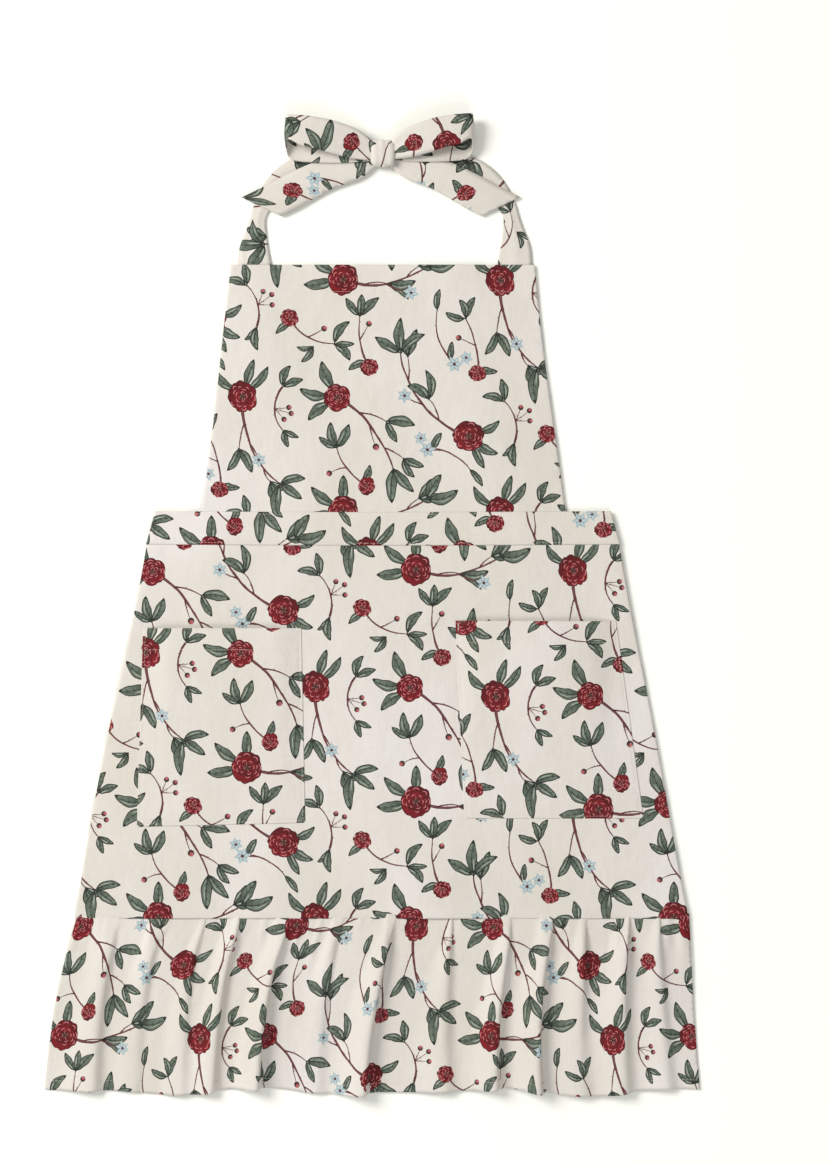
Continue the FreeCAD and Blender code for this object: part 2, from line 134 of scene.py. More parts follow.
# ------------------------------------------------------------------------------------------- materials
def new_material(name, roughness, sheen=0.0):
    material = bpy.data.materials.new(name)
    material.use_nodes = True
    shader = material.node_tree.nodes["Principled BSDF"]
    shader.inputs["Roughness"].default_value = roughness
    shader.inputs["Specular IOR Level"].default_value = 0.04
    shader.inputs["Sheen Weight"].default_value = sheen
    shader.inputs["Sheen Roughness"].default_value = 0.5
    return material, material.node_tree, shader


def node(tree, kind, **values):
    """A node with its inputs set by name (underscores for spaces) or linked when the value is a socket."""
    made = tree.nodes.new(kind)
    for name, value in values.items():
        if name.startswith("_"):
            setattr(made, name[1:], value)
            continue
        socket = made.inputs[int(name[2:])] if name.startswith("in") else made.inputs[name.replace("_", " ")]
        if isinstance(value, bpy.types.NodeSocket):
            tree.links.new(value, socket)
        else:
            socket.default_value = value
    return made


def mix(tree, factor, a, b, blend="MIX"):
    made = tree.nodes.new("ShaderNodeMix")
    made.data_type = "RGBA"
    made.blend_type = blend
    for index, value in ((0, factor), (6, a), (7, b)):
        if isinstance(value, bpy.types.NodeSocket):
            tree.links.new(value, made.inputs[index])
        else:
            made.inputs[index].default_value = value
    return made.outputs[2]


def math_node(tree, operation, a, b=0.0):
    return node(tree, "ShaderNodeMath", _operation=operation, in0=a, in1=b).outputs[0]


def stretched_noise(tree, cloth, scale, detail=2.0, roughness=0.5):
    """Noise over the cloth's own coordinates, in cycles per metre across and along."""
    mapping = node(tree, "ShaderNodeMapping", Vector=cloth, Scale=(scale[0], scale[1], 1.0))
    return node(
        tree, "ShaderNodeTexNoise", Vector=mapping.outputs[0], Scale=1.0, Detail=detail, Roughness=roughness
    ).outputs["Fac"]


def ranged(tree, value, low, high):
    return node(
        tree, "ShaderNodeMapRange", Value=value, From_Min=0.3, From_Max=0.7, To_Min=low, To_Max=high
    ).outputs[0]


def weave_height(tree, cloth, pitch):
    """A plain weave: two crossed thread ripples, half a thread out of step."""
    split = node(tree, "ShaderNodeSeparateXYZ", Vector=cloth)
    turns = 2 * pi / pitch
    warp = math_node(tree, "SINE", math_node(tree, "MULTIPLY", split.outputs[0], turns))
    weft = math_node(tree, "SINE", math_node(tree, "MULTIPLY", split.outputs[1], turns))
    return math_node(tree, "MULTIPLY", warp, weft)


GROUND = (0.640, 0.600, 0.530, 1.0)
GROUND_LIGHT = (0.725, 0.688, 0.668, 1.0)
GROUND_SHADE = (0.575, 0.530, 0.452, 1.0)
REVERSE = (0.650, 0.608, 0.545, 1.0)
THREAD_PITCH = 0.9 * MM


def cloth_material(name, ink_strength, ground):
    """Printed cotton. The Print attribute holds the ink's colour, and how much ink there is in its alpha."""
    material, tree, shader = new_material(name, 0.86, sheen=0.015)
    cloth = node(tree, "ShaderNodeAttribute", _attribute_name="cloth").outputs["Vector"]
    ink = node(tree, "ShaderNodeAttribute", _attribute_name="Print")
    warp = stretched_noise(tree, cloth, (1500.0, 45.0))
    weft = stretched_noise(tree, cloth, (45.0, 1500.0))
    blotch = stretched_noise(tree, cloth, (14.0, 9.0), detail=4.0)
    broad = stretched_noise(tree, cloth, (4.6, 3.4), detail=3.0)
    base = mix(tree, ranged(tree, broad, 0.0, 1.0), ground, GROUND_LIGHT)
    base = mix(tree, ranged(tree, blotch, 0.0, 0.45), base, GROUND_SHADE)
    slub = math_node(tree, "MULTIPLY", ranged(tree, warp, 0.975, 1.018), ranged(tree, weft, 0.975, 1.018))
    grain = stretched_noise(tree, cloth, (900.0, 900.0), detail=1.0)
    amount = math_node(
        tree, "MULTIPLY", ink.outputs["Alpha"], ranged(tree, grain, 0.955 * ink_strength, 1.0 * ink_strength)
    )
    printed = mix(tree, amount, base, ink.outputs["Color"])
    shade = node(tree, "ShaderNodeCombineColor", Red=slub, Green=slub, Blue=slub).outputs[0]
    coloured = mix(tree, 1.0, printed, shade, "MULTIPLY")
    tree.links.new(coloured, shader.inputs["Base Color"])
    crinkle = stretched_noise(tree, cloth, (60.0, 42.0), detail=5.0, roughness=0.55)
    weave = weave_height(tree, cloth, THREAD_PITCH)
    fine = node(tree, "ShaderNodeBump", Height=weave, Strength=0.35, Distance=0.00012)
    soft = node(
        tree, "ShaderNodeBump", Height=crinkle, Strength=0.55, Distance=0.0022, Normal=fine.outputs[0]
    )
    tree.links.new(soft.outputs[0], shader.inputs["Normal"])
    tree.links.new(ranged(tree, grain, 0.80, 0.92), shader.inputs["Roughness"])
    return material


def thread_material():
    material, tree, shader = new_material("cream_thread", 0.62, sheen=0.2)
    place = node(tree, "ShaderNodeTexCoord").outputs["Object"]
    twist = node(tree, "ShaderNodeTexNoise", Vector=place, Scale=2600.0, Detail=1.0).outputs["Fac"]
    colour = mix(tree, ranged(tree, twist, 0.0, 1.0), (0.66, 0.58, 0.48, 1), (0.80, 0.74, 0.66, 1))
    tree.links.new(colour, shader.inputs["Base Color"])
    bump = node(tree, "ShaderNodeBump", Height=twist, Strength=0.5, Distance=0.0001)
    tree.links.new(bump.outputs[0], shader.inputs["Normal"])
    return material


def plain_material():
    """Unprinted white interlining: short fibres pressed in every direction."""
    material, tree, shader = new_material("white_interlining", 0.9)
    cloth = node(tree, "ShaderNodeAttribute", _attribute_name="cloth").outputs["Vector"]
    fibres = stretched_noise(tree, cloth, (700.0, 400.0), detail=4.0)
    colour = mix(tree, ranged(tree, fibres, 0.0, 1.0), (0.72, 0.72, 0.70, 1), (0.82, 0.82, 0.81, 1))
    tree.links.new(colour, shader.inputs["Base Color"])
    bump = node(tree, "ShaderNodeBump", Height=fibres, Strength=0.4, Distance=0.0002)
    tree.links.new(bump.outputs[0], shader.inputs["Normal"])
    return material


PRINTED = cloth_material("printed_cotton", 1.0, GROUND)
BACK = cloth_material("cotton_reverse", 0.22, REVERSE)
PLAIN = plain_material()
THREAD = thread_material()


# ------------------------------------------------------------------------------------------- the print
# A shape is (points, first colour, last colour, start, end): the colour runs from start to end.
LEAF_EDGE = (0.019, 0.024, 0.020)
LEAF_DARK = (0.052, 0.074, 0.053)
LEAF_LIGHT = (0.168, 0.204, 0.160)
LEAF_PALE = (0.350, 0.385, 0.325)
RED_EDGE = (0.050, 0.003, 0.005)
RED = (0.182, 0.006, 0.011)
RED_DEEP = (0.080, 0.003, 0.006)
PINK = (0.520, 0.165, 0.170)
BARK = (0.085, 0.020, 0.026)
BARK_LIGHT = (0.160, 0.055, 0.058)
BLUE = (0.440, 0.530, 0.550)
BLUE_EDGE = (0.160, 0.215, 0.235)
CENTRE = (0.045, 0.018, 0.014)


def unit(angle):
    return np.array([cos(angle), sin(angle)])


def rotation(angle):
    return np.array([unit(angle), unit(angle + pi / 2)])


def signed_area(points):
    x, y = np.asarray(points, float).T
    return (np.dot(x, np.roll(y, -1)) - np.dot(y, np.roll(x, -1))) / 2


def shape(points, colour, last=None):
    points = np.asarray(points, float)
    start, end = points[0], points[len(points) // 2]
    return (points if signed_area(points) > 0 else points[::-1], colour, last or colour, start, end)


def ribbon(path, widths):
    """A closed outline along a path, with a half-width at each of its points."""
    path = np.asarray(path, float)
    run = np.gradient(path, axis=0)
    run /= np.linalg.norm(run, axis=1)[:, None] + 1e-12
    across = np.stack([-run[:, 1], run[:, 0]], 1) * np.asarray(widths)[:, None]
    return np.concatenate([path - across, (path + across)[::-1]])


def leaf(rng, root, angle, length):
    """A broad leaf with a dark outline, one lit half, dark side veins and a pale stroke."""
    half = length * rng.uniform(0.138, 0.190)
    bend = rng.uniform(-0.15, 0.15)
    t = np.linspace(0, 1, 10)
    spine = np.stack([t, bend * np.sin(pi * t)], 1) * length @ rotation(angle) + root
    profile = np.sin(pi * t ** 0.92) ** 0.8 * half
    profile *= 1 + 0.09 * np.sin(t * 12 + rng.uniform(0, 6))
    forward, side = unit(angle), unit(angle + pi / 2) * rng.choice((-1, 1))
    body = np.maximum(profile[1:-1] - 0.00046, 0.0003)
    lit = spine[1:-1] + side * (body * 0.80)[:, None]
    pieces = [
        shape(ribbon(spine, profile + 0.00056), LEAF_EDGE),
        shape(ribbon(spine[1:-1], body), LEAF_DARK, LEAF_LIGHT),
        shape(np.concatenate([spine[1:-1], lit[::-1]]), LEAF_LIGHT, LEAF_DARK),
    ]
    for k in (2, 4, 6):
        for hand in (-1, 1):
            outward = side * hand * profile[k] * rng.uniform(0.60, 0.85)
            end = spine[k] + outward + forward * half * rng.uniform(0.5, 0.9)
            vein = [spine[k], (spine[k] + end) / 2, end]
            pieces.append(shape(ribbon(vein, [0.0003, 0.00024, 0.0001]), LEAF_EDGE))
    first, last = rng.choice(((2, 6), (3, 7), (1, 4)))
    stroke = spine[first:last + 1] + side * (profile[first:last + 1] * 0.45)[:, None]
    pieces.append(shape(ribbon(stroke, np.sin(np.linspace(0.3, 2.9, len(stroke))) * 0.0005), LEAF_PALE))
    rib = np.concatenate([[spine[0] - (spine[1] - spine[0]) * 0.5], spine[:8]])
    pieces.append(shape(ribbon(rib, np.linspace(0.00065, 0.0002, len(rib))), LEAF_EDGE))
    return pieces, [(*(spine[k]), half * 0.8) for k in (2, 5, 8)]


def ring(centre, radius, lobes, depth, count, turn, squeeze=1.0):
    """A closed outline with uneven scallops, depth of the radius deep."""
    a = np.linspace(0, 2 * pi, count, endpoint=False)
    uneven = a + 0.22 * np.sin(2 * a + turn) + 0.12 * np.sin(3 * a + 2 * turn)
    r = radius * (1 - depth + depth * np.abs(np.cos(lobes * uneven / 2)) ** 0.6)
    r = r * (1 + 0.035 * np.sin(2 * a + 3 * turn) + 0.03 * np.sin(5 * a + turn))
    return np.stack([np.cos(a) * r, np.sin(a) * r * squeeze], 1) @ rotation(turn) + centre


def rose(rng, centre, radius):
    """A full round rose: a scalloped red disc, rings of petals edged in pink, and a dark middle."""
    turn = rng.uniform(0, 6)
    squeeze = rng.uniform(0.9, 1.0)
    lobes = rng.choice((8, 9, 10))
    pieces = [
        shape(ring(centre, radius * 1.03, lobes, 0.13, lobes * 5, turn, squeeze), RED_EDGE),
        shape(ring(centre, radius * 0.98, lobes, 0.13, lobes * 5, turn, squeeze), RED, RED_DEEP),
        shape(ring(centre, radius * 0.62, 7, 0.18, 28, turn + 1, squeeze), RED_DEEP, RED),
        shape(ring(centre, radius * 0.24, 5, 0.25, 15, turn, squeeze), CENTRE),
    ]

    def at(angle, share):
        return centre + np.array([cos(angle), sin(angle) * squeeze]) * radius * share

    petal_rings = ((0.88, lobes, 0.00052), (0.67, 8, 0.00046), (0.46, 6, 0.00042), (0.30, 4, 0.00034))
    for share, arcs, thick in petal_rings:
        for k in range(arcs):
            middle = turn + (k + rng.uniform(-0.2, 0.2)) * 2 * pi / arcs + share * 3
            width = pi / arcs * rng.uniform(0.45, 0.85)
            path = [
                at(a, share * (0.88 + 0.13 * cos((a - middle) / width * pi / 2)))
                for a in np.linspace(middle - width, middle + width, 6)
            ]
            if rng.random() < 0.74:
                pieces.append(shape(ribbon(path, thick * np.array([0.2, 0.7, 1, 1, 0.7, 0.2])), PINK))
            edge = middle + pi / arcs
            crease = ribbon([at(edge, share * 0.72), at(edge, share * 1.02)], [0.00012, 0.0004])
            pieces.append(shape(crease, RED_EDGE))
    for k in range(9):
        a = k * 0.698 + turn
        start, end = at(a, 0.08), at(a, rng.uniform(0.20, 0.34))
        pieces.append(shape(ribbon([start, end], [0.00015, 0.0003]), CENTRE if k % 2 else PINK))
    return pieces, [(*centre, radius)]


def star(rng, centre, radius):
    """A small pale blue star flower."""
    turn = rng.uniform(0, 6)
    pieces = []
    for k in range(6):
        a = turn + k * pi / 3
        path = [centre + unit(a + 0.12 * i / 3) * radius * i / 3 for i in range(4)]
        pieces.append(shape(ribbon(path, np.array([0.12, 0.30, 0.22, 0.03]) * radius), BLUE_EDGE, BLUE))
        pieces.append(shape(ribbon(path[:3], np.array([0.05, 0.16, 0.08]) * radius), BLUE))
    pieces.append(shape(ring(centre, radius * 0.2, 5, 0.2, 10, turn), BARK))
    return pieces, [(*centre, radius)]


def bud(centre, angle, size):
    """A red bud held by two sepals."""
    path = np.array([centre + unit(angle) * size * t for t in (0, 0.3, 0.7, 1)])
    pieces = [
        shape(ribbon(path, np.array([0.25, 0.50, 0.46, 0.08]) * size), RED_EDGE),
        shape(ribbon(path[1:], np.array([0.34, 0.32, 0.05]) * size), RED, PINK),
    ]
    for side in (-1, 1):
        middle = centre + unit(angle + side * 0.8) * size * 0.4
        tip = centre + unit(angle + side * 0.55) * size * 0.8
        pieces.append(shape(ribbon([centre, middle, tip], [0.0004, 0.0008, 0.0002]), LEAF_EDGE))
    return pieces, [(*(centre + unit(angle) * size * 0.5), size * 0.6)]


def twig(rng, start, angle, length, curve, width):
    """A branch that bends by curve in all: its pieces, discs, points and the heading at each point."""
    count = max(5, int(length / 0.0055))
    points, headings = [np.array(start)], [angle]
    for k in range(count):
        angle += curve / count + rng.uniform(-0.10, 0.10)
        points.append(points[-1] + unit(angle) * length / count)
        headings.append(angle)
    points = np.array(points)
    widths = np.linspace(width, width * 0.45, len(points))
    widths = widths * np.array([rng.uniform(0.8, 1.25) for _ in points])
    pieces = [shape(ribbon(points, widths), BARK)]
    pieces.append(shape(ribbon(points[1:-1], widths[1:-1] * 0.38), BARK_LIGHT))
    for k in range(2, len(points) - 1, 3):
        side = rng.choice((-1, 1))
        tip = points[k] + unit(headings[k] + side * 1.0) * (widths[k] + 0.0012)
        pieces.append(shape(ribbon([points[k], tip], [0.0006, 0.0001]), BARK))
    return pieces, [(*p, 0.0016) for p in points[1:]], points, headings


def spray(rng, root, heading, leaves, length):
    """Leaves that fan out from one point."""
    pieces, discs = [], []
    for k in range(leaves):
        a = heading + (k - (leaves - 1) / 2) * rng.uniform(0.75, 1.0) + rng.uniform(-0.15, 0.15)
        size = length * rng.uniform(0.72, 1.1)
        more, where = leaf(rng, root + unit(a) * 0.0015, a, size)
        pieces += more
        discs += where
    return pieces, discs


def sprig(rng, kind, root, heading):
    """One spray of the print: a flower, its branch, side twigs and leaves."""
    under, over, discs = [], [], []

    def add(made, on_top=False):
        (over if on_top else under).extend(made[0])
        discs.extend(made[1])

    length = rng.uniform(0.085, 0.118) if kind == "rose" else rng.uniform(0.040, 0.062)
    curve = rng.uniform(0.5, 1.25) * rng.choice((-1, 1))
    width = 0.00155 if kind == "rose" else 0.0011
    made = twig(rng, root, heading, length, curve, width)
    points, headings = made[2], made[3]
    add(made)
    side = rng.choice((-1, 1))
    if kind == "rose":
        radius = rng.uniform(0.0126, 0.0164)
        behind = heading + pi
        for k in range(3):
            a = behind + (k - 1) * rng.uniform(0.65, 0.95) + rng.uniform(-0.2, 0.2)
            add(leaf(rng, root + unit(a) * radius * 0.65, a, rng.uniform(0.022, 0.031)))
        add(rose(rng, root, radius), True)
        for share, turn in ((0.30, side), (0.52, -side), (0.78, side)):
            k = int(share * (len(points) - 1))
            reach = rng.uniform(0.014, 0.030)
            aim = headings[k] + turn * rng.uniform(0.55, 0.9)
            shoot = twig(rng, points[k], aim, reach, -turn * 0.5, 0.0009)
            add(shoot)
            end, aim = shoot[2][-1], shoot[3][-1]
            if share < 0.4:
                add(spray(rng, end, aim, 2, 0.031))
            elif share < 0.6:
                add(bud(end, aim, 0.0068) if rng.random() < 0.4 else star(rng, end, 0.0080), True)
            else:
                add(spray(rng, end, aim, 2, 0.027))
        add(spray(rng, points[-1], headings[-1], rng.choice((2, 3)), 0.033))
    elif kind == "small":
        add(rose(rng, root, rng.uniform(0.0088, 0.0112)), True)
        add(leaf(rng, points[1], headings[0] + side * 1.4, 0.020))
        add(spray(rng, points[-1], headings[-1], 3, 0.026))
        k = len(points) // 2
        shoot = twig(rng, points[k], headings[k] - side * 0.8, 0.016, 0.3, 0.0007)
        add(shoot)
        add(bud(shoot[2][-1], shoot[3][-1], 0.0060), True)
    elif kind == "berries":
        add(spray(rng, points[0], heading + pi, 2, 0.022))
        k = int(len(points) * 0.55)
        for turn in (-0.5, 0.0, 0.5):
            reach = 0.015 - abs(turn) * 0.006
            shoot = twig(rng, points[k], headings[k] + side * 1.2 + turn, reach, 0.1, 0.0005)
            add(shoot)
            add(bud(shoot[2][-1], shoot[3][-1], 0.0055), True)
        add(spray(rng, points[-1], headings[-1], 2, 0.022))
    else:
        add(star(rng, root, 0.0086), True)
        add(star(rng, root + unit(heading + side * 1.9) * 0.0135, 0.0074), True)
        add(leaf(rng, points[1], headings[0] + side * 0.9, 0.019))
        add(leaf(rng, points[-1], headings[-1], 0.021))
    return under + over, np.array(discs)


# The repeat: one tile, stepped down by half a tile in every second column.
TILE = (0.262, 0.236)
TILE_FILLING = (
    ("rose", 5, 0.0028),
    ("berries", 2, 0.0022),
    ("small", 4, 0.0024),
    ("star", 4, 0.0022),
    ("leaves", 1, 0.0024),
)
TRIES = 160


def step_offset(i, j):
    return np.array([i * TILE[0], (j + (i % 2) * 0.5) * TILE[1]])


def clear_of(discs, placed, gap):
    """True where the discs keep a gap from those already placed, in every repeat."""
    away = discs[:, None, :2] - placed[None, :, :2]
    column = np.round(away[..., 0] / TILE[0])
    across = away[..., 0] - column * TILE[0]
    along_y = away[..., 1] / TILE[1] - (column % 2) * 0.5
    along_y = (along_y - np.round(along_y)) * TILE[1]
    return (np.hypot(across, along_y) > discs[:, None, 2] + placed[None, :, 2] + gap).all()


def moved(made, root, turn):
    """A sprig made at the origin, turned and carried to its root."""
    rotate = rotation(turn)
    return [(p @ rotate + root, c, d, a @ rotate + root, b @ rotate + root) for p, c, d, a, b in made]


def make_tile(seed):
    """Fills the tile with sprigs that don't touch, the largest first."""
    rng = random.Random(seed)
    placed, shapes, roots = np.zeros((0, 3)), [], {}
    origin = np.zeros(2)
    for kind, wanted, gap in TILE_FILLING:
        done = 0
        for _ in range(wanted * 3):
            if kind == "leaves":
                made, discs = spray(rng, origin, 0.0, rng.choice((1, 2, 2)), 0.020)
                discs = np.array(discs)
            else:
                made, discs = sprig(rng, kind, origin, 0.0)
            for _ in range(TRIES):
                root = np.array([rng.uniform(0, TILE[0]), rng.uniform(0, TILE[1])])
                turn = rng.uniform(0, 2 * pi)
                centres = discs[:, :2] @ rotation(turn) + root
                there = np.concatenate([centres, discs[:, 2:]], 1)
                if clear_of(there, placed, gap):
                    placed = np.concatenate([placed, there])
                    shapes += moved(made, root, turn)
                    roots.setdefault(kind, []).append(root)
                    done += 1
                    break
            if done == wanted:
                break
    return shapes, roots


TILE_SHAPES, TILE_ROOTS = make_tile(11)
SHAPE_LOW = np.array([points.min(0) for points, *_ in TILE_SHAPES])
SHAPE_HIGH = np.array([points.max(0) for points, *_ in TILE_SHAPES])
SHAPE_CENTRES = (SHAPE_LOW + SHAPE_HIGH) / 2
SHAPE_REACH = np.linalg.norm(SHAPE_HIGH - SHAPE_LOW, axis=1)[:, None] / 2


def rose_at(place, turn=0.0, kind="small", which=0):
    """How to lay the print on a piece so that one of its roses falls at a place."""
    return (*(np.array(place) - TILE_ROOTS[kind][which] @ rotation(turn)), turn)


# ------------------------------------------------------------------------------------- cutting the cloth
def inside(points, polygon):
    """Which points lie inside a polygon."""
    x, y = points[:, 0], points[:, 1]
    result = np.zeros(len(points), bool)
    for (x0, y0), (x1, y1) in zip(polygon, np.roll(polygon, -1, axis=0)):
        crosses = (y0 > y) != (y1 > y)
        result ^= crosses & (x < (x1 - x0) * (y - y0) / (y1 - y0 + 1e-15) + x0)
    return result


def subdivided(polygon, step):
    """A closed polygon with points no more than a step apart."""
    points = []
    for a, b in zip(polygon, np.roll(polygon, -1, axis=0)):
        count = max(1, int(ceil(np.linalg.norm(b - a) / step)))
        points += [a + (b - a) * k / count for k in range(count)]
    return np.array(points)


def inset(polygon, distance):
    """A counter-clockwise polygon drawn in by a distance."""
    previous, following = np.roll(polygon, 1, axis=0), np.roll(polygon, -1, axis=0)
    first, second = polygon - previous, following - polygon
    first /= np.linalg.norm(first, axis=1)[:, None]
    second /= np.linalg.norm(second, axis=1)[:, None]
    normals = np.stack([-first[:, 1] - second[:, 1], first[:, 0] + second[:, 0]], 1)
    return polygon + normals * (distance / (1 + (first * second).sum(1)))[:, None]


def print_over(low, high, print_place):
    """The shapes of the print that reach into a rectangle: outlines, and rows of colours and run."""
    offset, rotate = np.array(print_place[:2]), rotation(print_place[2])
    corners = np.array([[low[0], low[1]], [low[0], high[1]], [high[0], low[1]], [high[0], high[1]]])
    corners = (corners - offset) @ rotate.T / TILE
    first, last = np.floor(corners.min(0)).astype(int), np.ceil(corners.max(0)).astype(int)
    outlines, inks = [], []
    for i in range(first[0] - 1, last[0] + 1):
        for j in range(first[1] - 2, last[1] + 1):
            step = step_offset(i, j)
            centres = (SHAPE_CENTRES + step) @ rotate + offset
            reaches = (centres + SHAPE_REACH > low).all(1) & (centres - SHAPE_REACH < high).all(1)
            for k in np.flatnonzero(reaches):
                points, colour, last_colour, start, end = TILE_SHAPES[k]
                outlines.append((points + step) @ rotate + offset)
                run = (np.array([start, end]) + step) @ rotate + offset
                inks.append((*colour, *last_colour, *run[0], *run[1]))
    return outlines, inks


def cut(outline, step, print_place, rings=(), extra=()):
    """Triangulates a flat outline with the print in it.

    Returns the flat points, the triangles, and for each triangle the row of its ink or -1 on the bare ground.
    print_place is (offset x, offset y, turn) of the print on this piece, or None for plain cloth.
    """
    outline = subdivided(np.asarray(outline, float), step)
    low, high = outline.min(0), outline.max(0)
    outlines, inks = print_over(low, high, print_place) if print_place else ([], [])
    polygons = [outline, *outlines, *(inset(outline, distance) for distance in rings)]
    count_x, count_y = ((high - low) / step).astype(int) + 1
    gx, gy = np.meshgrid(np.arange(count_x + 1), np.arange(count_y + 1), indexing="ij")
    grid = np.stack([low[0] + (gx + 0.5 * (gy % 2)) * step, low[1] + gy * step], 2).reshape(-1, 2)
    grid = grid[inside(grid, inset(outline, step * 0.35))]
    vertices, faces = [], []
    for points in polygons:
        faces.append(list(range(len(vertices), len(vertices) + len(points))))
        vertices += [Vector(p) for p in points.tolist()]
    for points in (grid, *extra):
        vertices += [Vector(p) for p in points.tolist()]
    flat, _, triangles, _, _, owners = delaunay_2d_cdt(vertices, [], faces, 0, 1e-6, True)
    flat = np.array([tuple(p) for p in flat])
    kept = np.array([triangle for triangle, owner in zip(triangles, owners) if 0 in owner])
    return flat, kept, top_shapes(flat[kept].mean(1), outlines), np.array(inks or [[0.0] * 10])


def top_shapes(places, outlines):
    """For each place the last of the outlines that holds it, or -1."""
    order = np.argsort(places[:, 0])
    sorted_x = places[order, 0]
    tops = np.full(len(places), -1)
    for k, points in enumerate(outlines):
        low, high = points.min(0), points.max(0)
        near = order[np.searchsorted(sorted_x, low[0]):np.searchsorted(sorted_x, high[0])]
        near = near[(places[near, 1] > low[1]) & (places[near, 1] < high[1])]
        tops[near[inside(places[near], points)]] = k
    return tops


def ink_colours(flat, triangles, tops, inks):
    """The print's colour and amount at each corner of each triangle."""
    rows = inks[tops]
    start, run = rows[:, None, 6:8], (rows[:, 8:10] - rows[:, 6:8])[:, None]
    share = ((flat[triangles] - start) * run).sum(2) / ((run * run).sum(2) + 1e-12)
    share = np.clip(share, 0, 1)[..., None]
    colours = np.zeros((len(triangles), 3, 4), np.float32)
    colours[..., :3] = rows[:, None, :3] * (1 - share) + rows[:, None, 3:6] * share
    colours[..., 3] = 1.0
    colours[tops < 0] = (*GROUND[:3], 0.0)
    return colours


def cloth_piece(
    name, outline, place, body, nodes, blend=None,
    step=0.006, print_place=(0, 0, 0), rings=(), extra=(), thickness=0.0005, down=False, both=False,
):
    """A closed ply of cloth, carried by place from flat to where it lies.

    It rides on body, or, when blend is given, is left where it lies with no body, and hides the CAD nodes
    that it stands for. down turns the print under. both is for a tie, a tube turned right side out, with
    print on both faces.
    """
    points, triangles, tops, inks = cut(outline, step, print_place, rings, extra)
    colours = ink_colours(points, triangles, tops, inks)
    if down:
        triangles, colours = triangles[:, ::-1], colours[:, ::-1]
    used, triangles = np.unique(triangles, return_inverse=True)
    points, triangles = points[used], triangles.reshape(-1, 3)
    mesh = bpy.data.meshes.new(name)
    mesh.from_pydata(place(points).tolist(), [], triangles.tolist())
    mesh.polygons.foreach_set("use_smooth", [True] * len(mesh.polygons))
    mesh.attributes.new("Print", "FLOAT_COLOR", "CORNER").data.foreach_set("color", colours.ravel())
    cloth = np.concatenate([points, np.zeros((len(points), 1))], 1).astype(np.float32)
    mesh.attributes.new("cloth", "FLOAT_VECTOR", "POINT").data.foreach_set("vector", cloth.ravel())
    for material in (PRINTED, BACK) if print_place else (PLAIN, PLAIN):
        mesh.materials.append(material)
    piece = new_object(name, mesh)
    solid = piece.modifiers.new("ply", "SOLIDIFY")
    solid.thickness = thickness
    solid.offset = -1
    solid.material_offset = 0 if both else 1
    solid.use_quality_normals = True
    applied = bpy.data.meshes.new_from_object(piece.evaluated_get(bpy.context.evaluated_depsgraph_get()))
    piece.modifiers.clear()
    piece.data = applied
    applied.name = name
    if blend:
        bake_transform(piece)
    else:
        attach(piece, body)
    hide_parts(*nodes)


# ------------------------------------------------------------------------------------------ how it lies
SIDES = (("left", -1), ("right", 1))


def make_waves(seed, count, across, along, height):
    """Gentle folds in cloth that lies flat, as (x rate, y rate, phase, height)."""
    rng = random.Random(seed)
    waves = []
    for _ in range(count):
        length = rng.uniform(*across)
        waves.append((
            2 * pi / length,
            2 * pi / rng.uniform(*along) * rng.choice((-1, 1)),
            rng.uniform(0, 2 * pi),
            height * rng.uniform(0.6, 1.2) * (length / across[1]) ** 0.7,
        ))
    return waves


LAY_WAVES = make_waves(3, 9, (0.07, 0.24), (0.22, 0.9), 0.00044)
LAY_LIFT = 0.0011


def lie(x, y):
    """Height that the folds add where the apron lies on the table."""
    total = sum(h * np.sin(kx * x + ky * y + ph) for kx, ky, ph, h in LAY_WAVES)
    return np.maximum(LAY_LIFT + total, 0.0)


def edge_distance(points, polygon):
    """Each point's distance to the nearest side of a polygon."""
    best = np.full(len(points), 9.0)
    for a, b in zip(polygon, np.roll(polygon, -1, axis=0)):
        run = b - a
        t = np.clip(((points - a) @ run) / (run @ run + 1e-15), 0, 1)
        best = np.minimum(best, np.linalg.norm(points - a - t[:, None] * run, axis=1))
    return best


def smooth(t):
    t = np.clip(t, 0, 1)
    return t * t * (3 - 2 * t)


ROLL_WIDTH = 0.0022
GROOVE_DEPTH = 0.00035
GROOVE_WIDTH = 0.0009


def laid(height, outline=None, roll=0.0, stitch=None, crown=None):
    """A map for a ply lying on the others: its edge rolls down, and its row of stitches pulls a groove."""
    polygon = None if outline is None else np.asarray(outline, float)

    def place(flat):
        x, y = flat[:, 0], flat[:, 1]
        z = height + lie(x, y)
        if polygon is not None:
            away = edge_distance(flat, polygon)
            z = z - roll * (1 - smooth(away / ROLL_WIDTH)) ** 2
            if stitch:
                z = z - GROOVE_DEPTH * np.exp(-(((away - stitch) / GROOVE_WIDTH) ** 2))
        if crown is not None:
            z = z + crown(x, y)
        return np.stack([x, y, z], 1)

    return place


def sampled(grid, a, b):
    """Points between those of a grid of points, at row a and column b."""
    i, j = np.minimum(a.astype(int), len(grid) - 2), np.minimum(b.astype(int), grid.shape[1] - 2)
    f, g = (a - i)[:, None], (b - j)[:, None]
    near = grid[i, j] * (1 - g) + grid[i, j + 1] * g
    far = grid[i + 1, j] * (1 - g) + grid[i + 1, j + 1] * g
    return near * (1 - f) + far * f


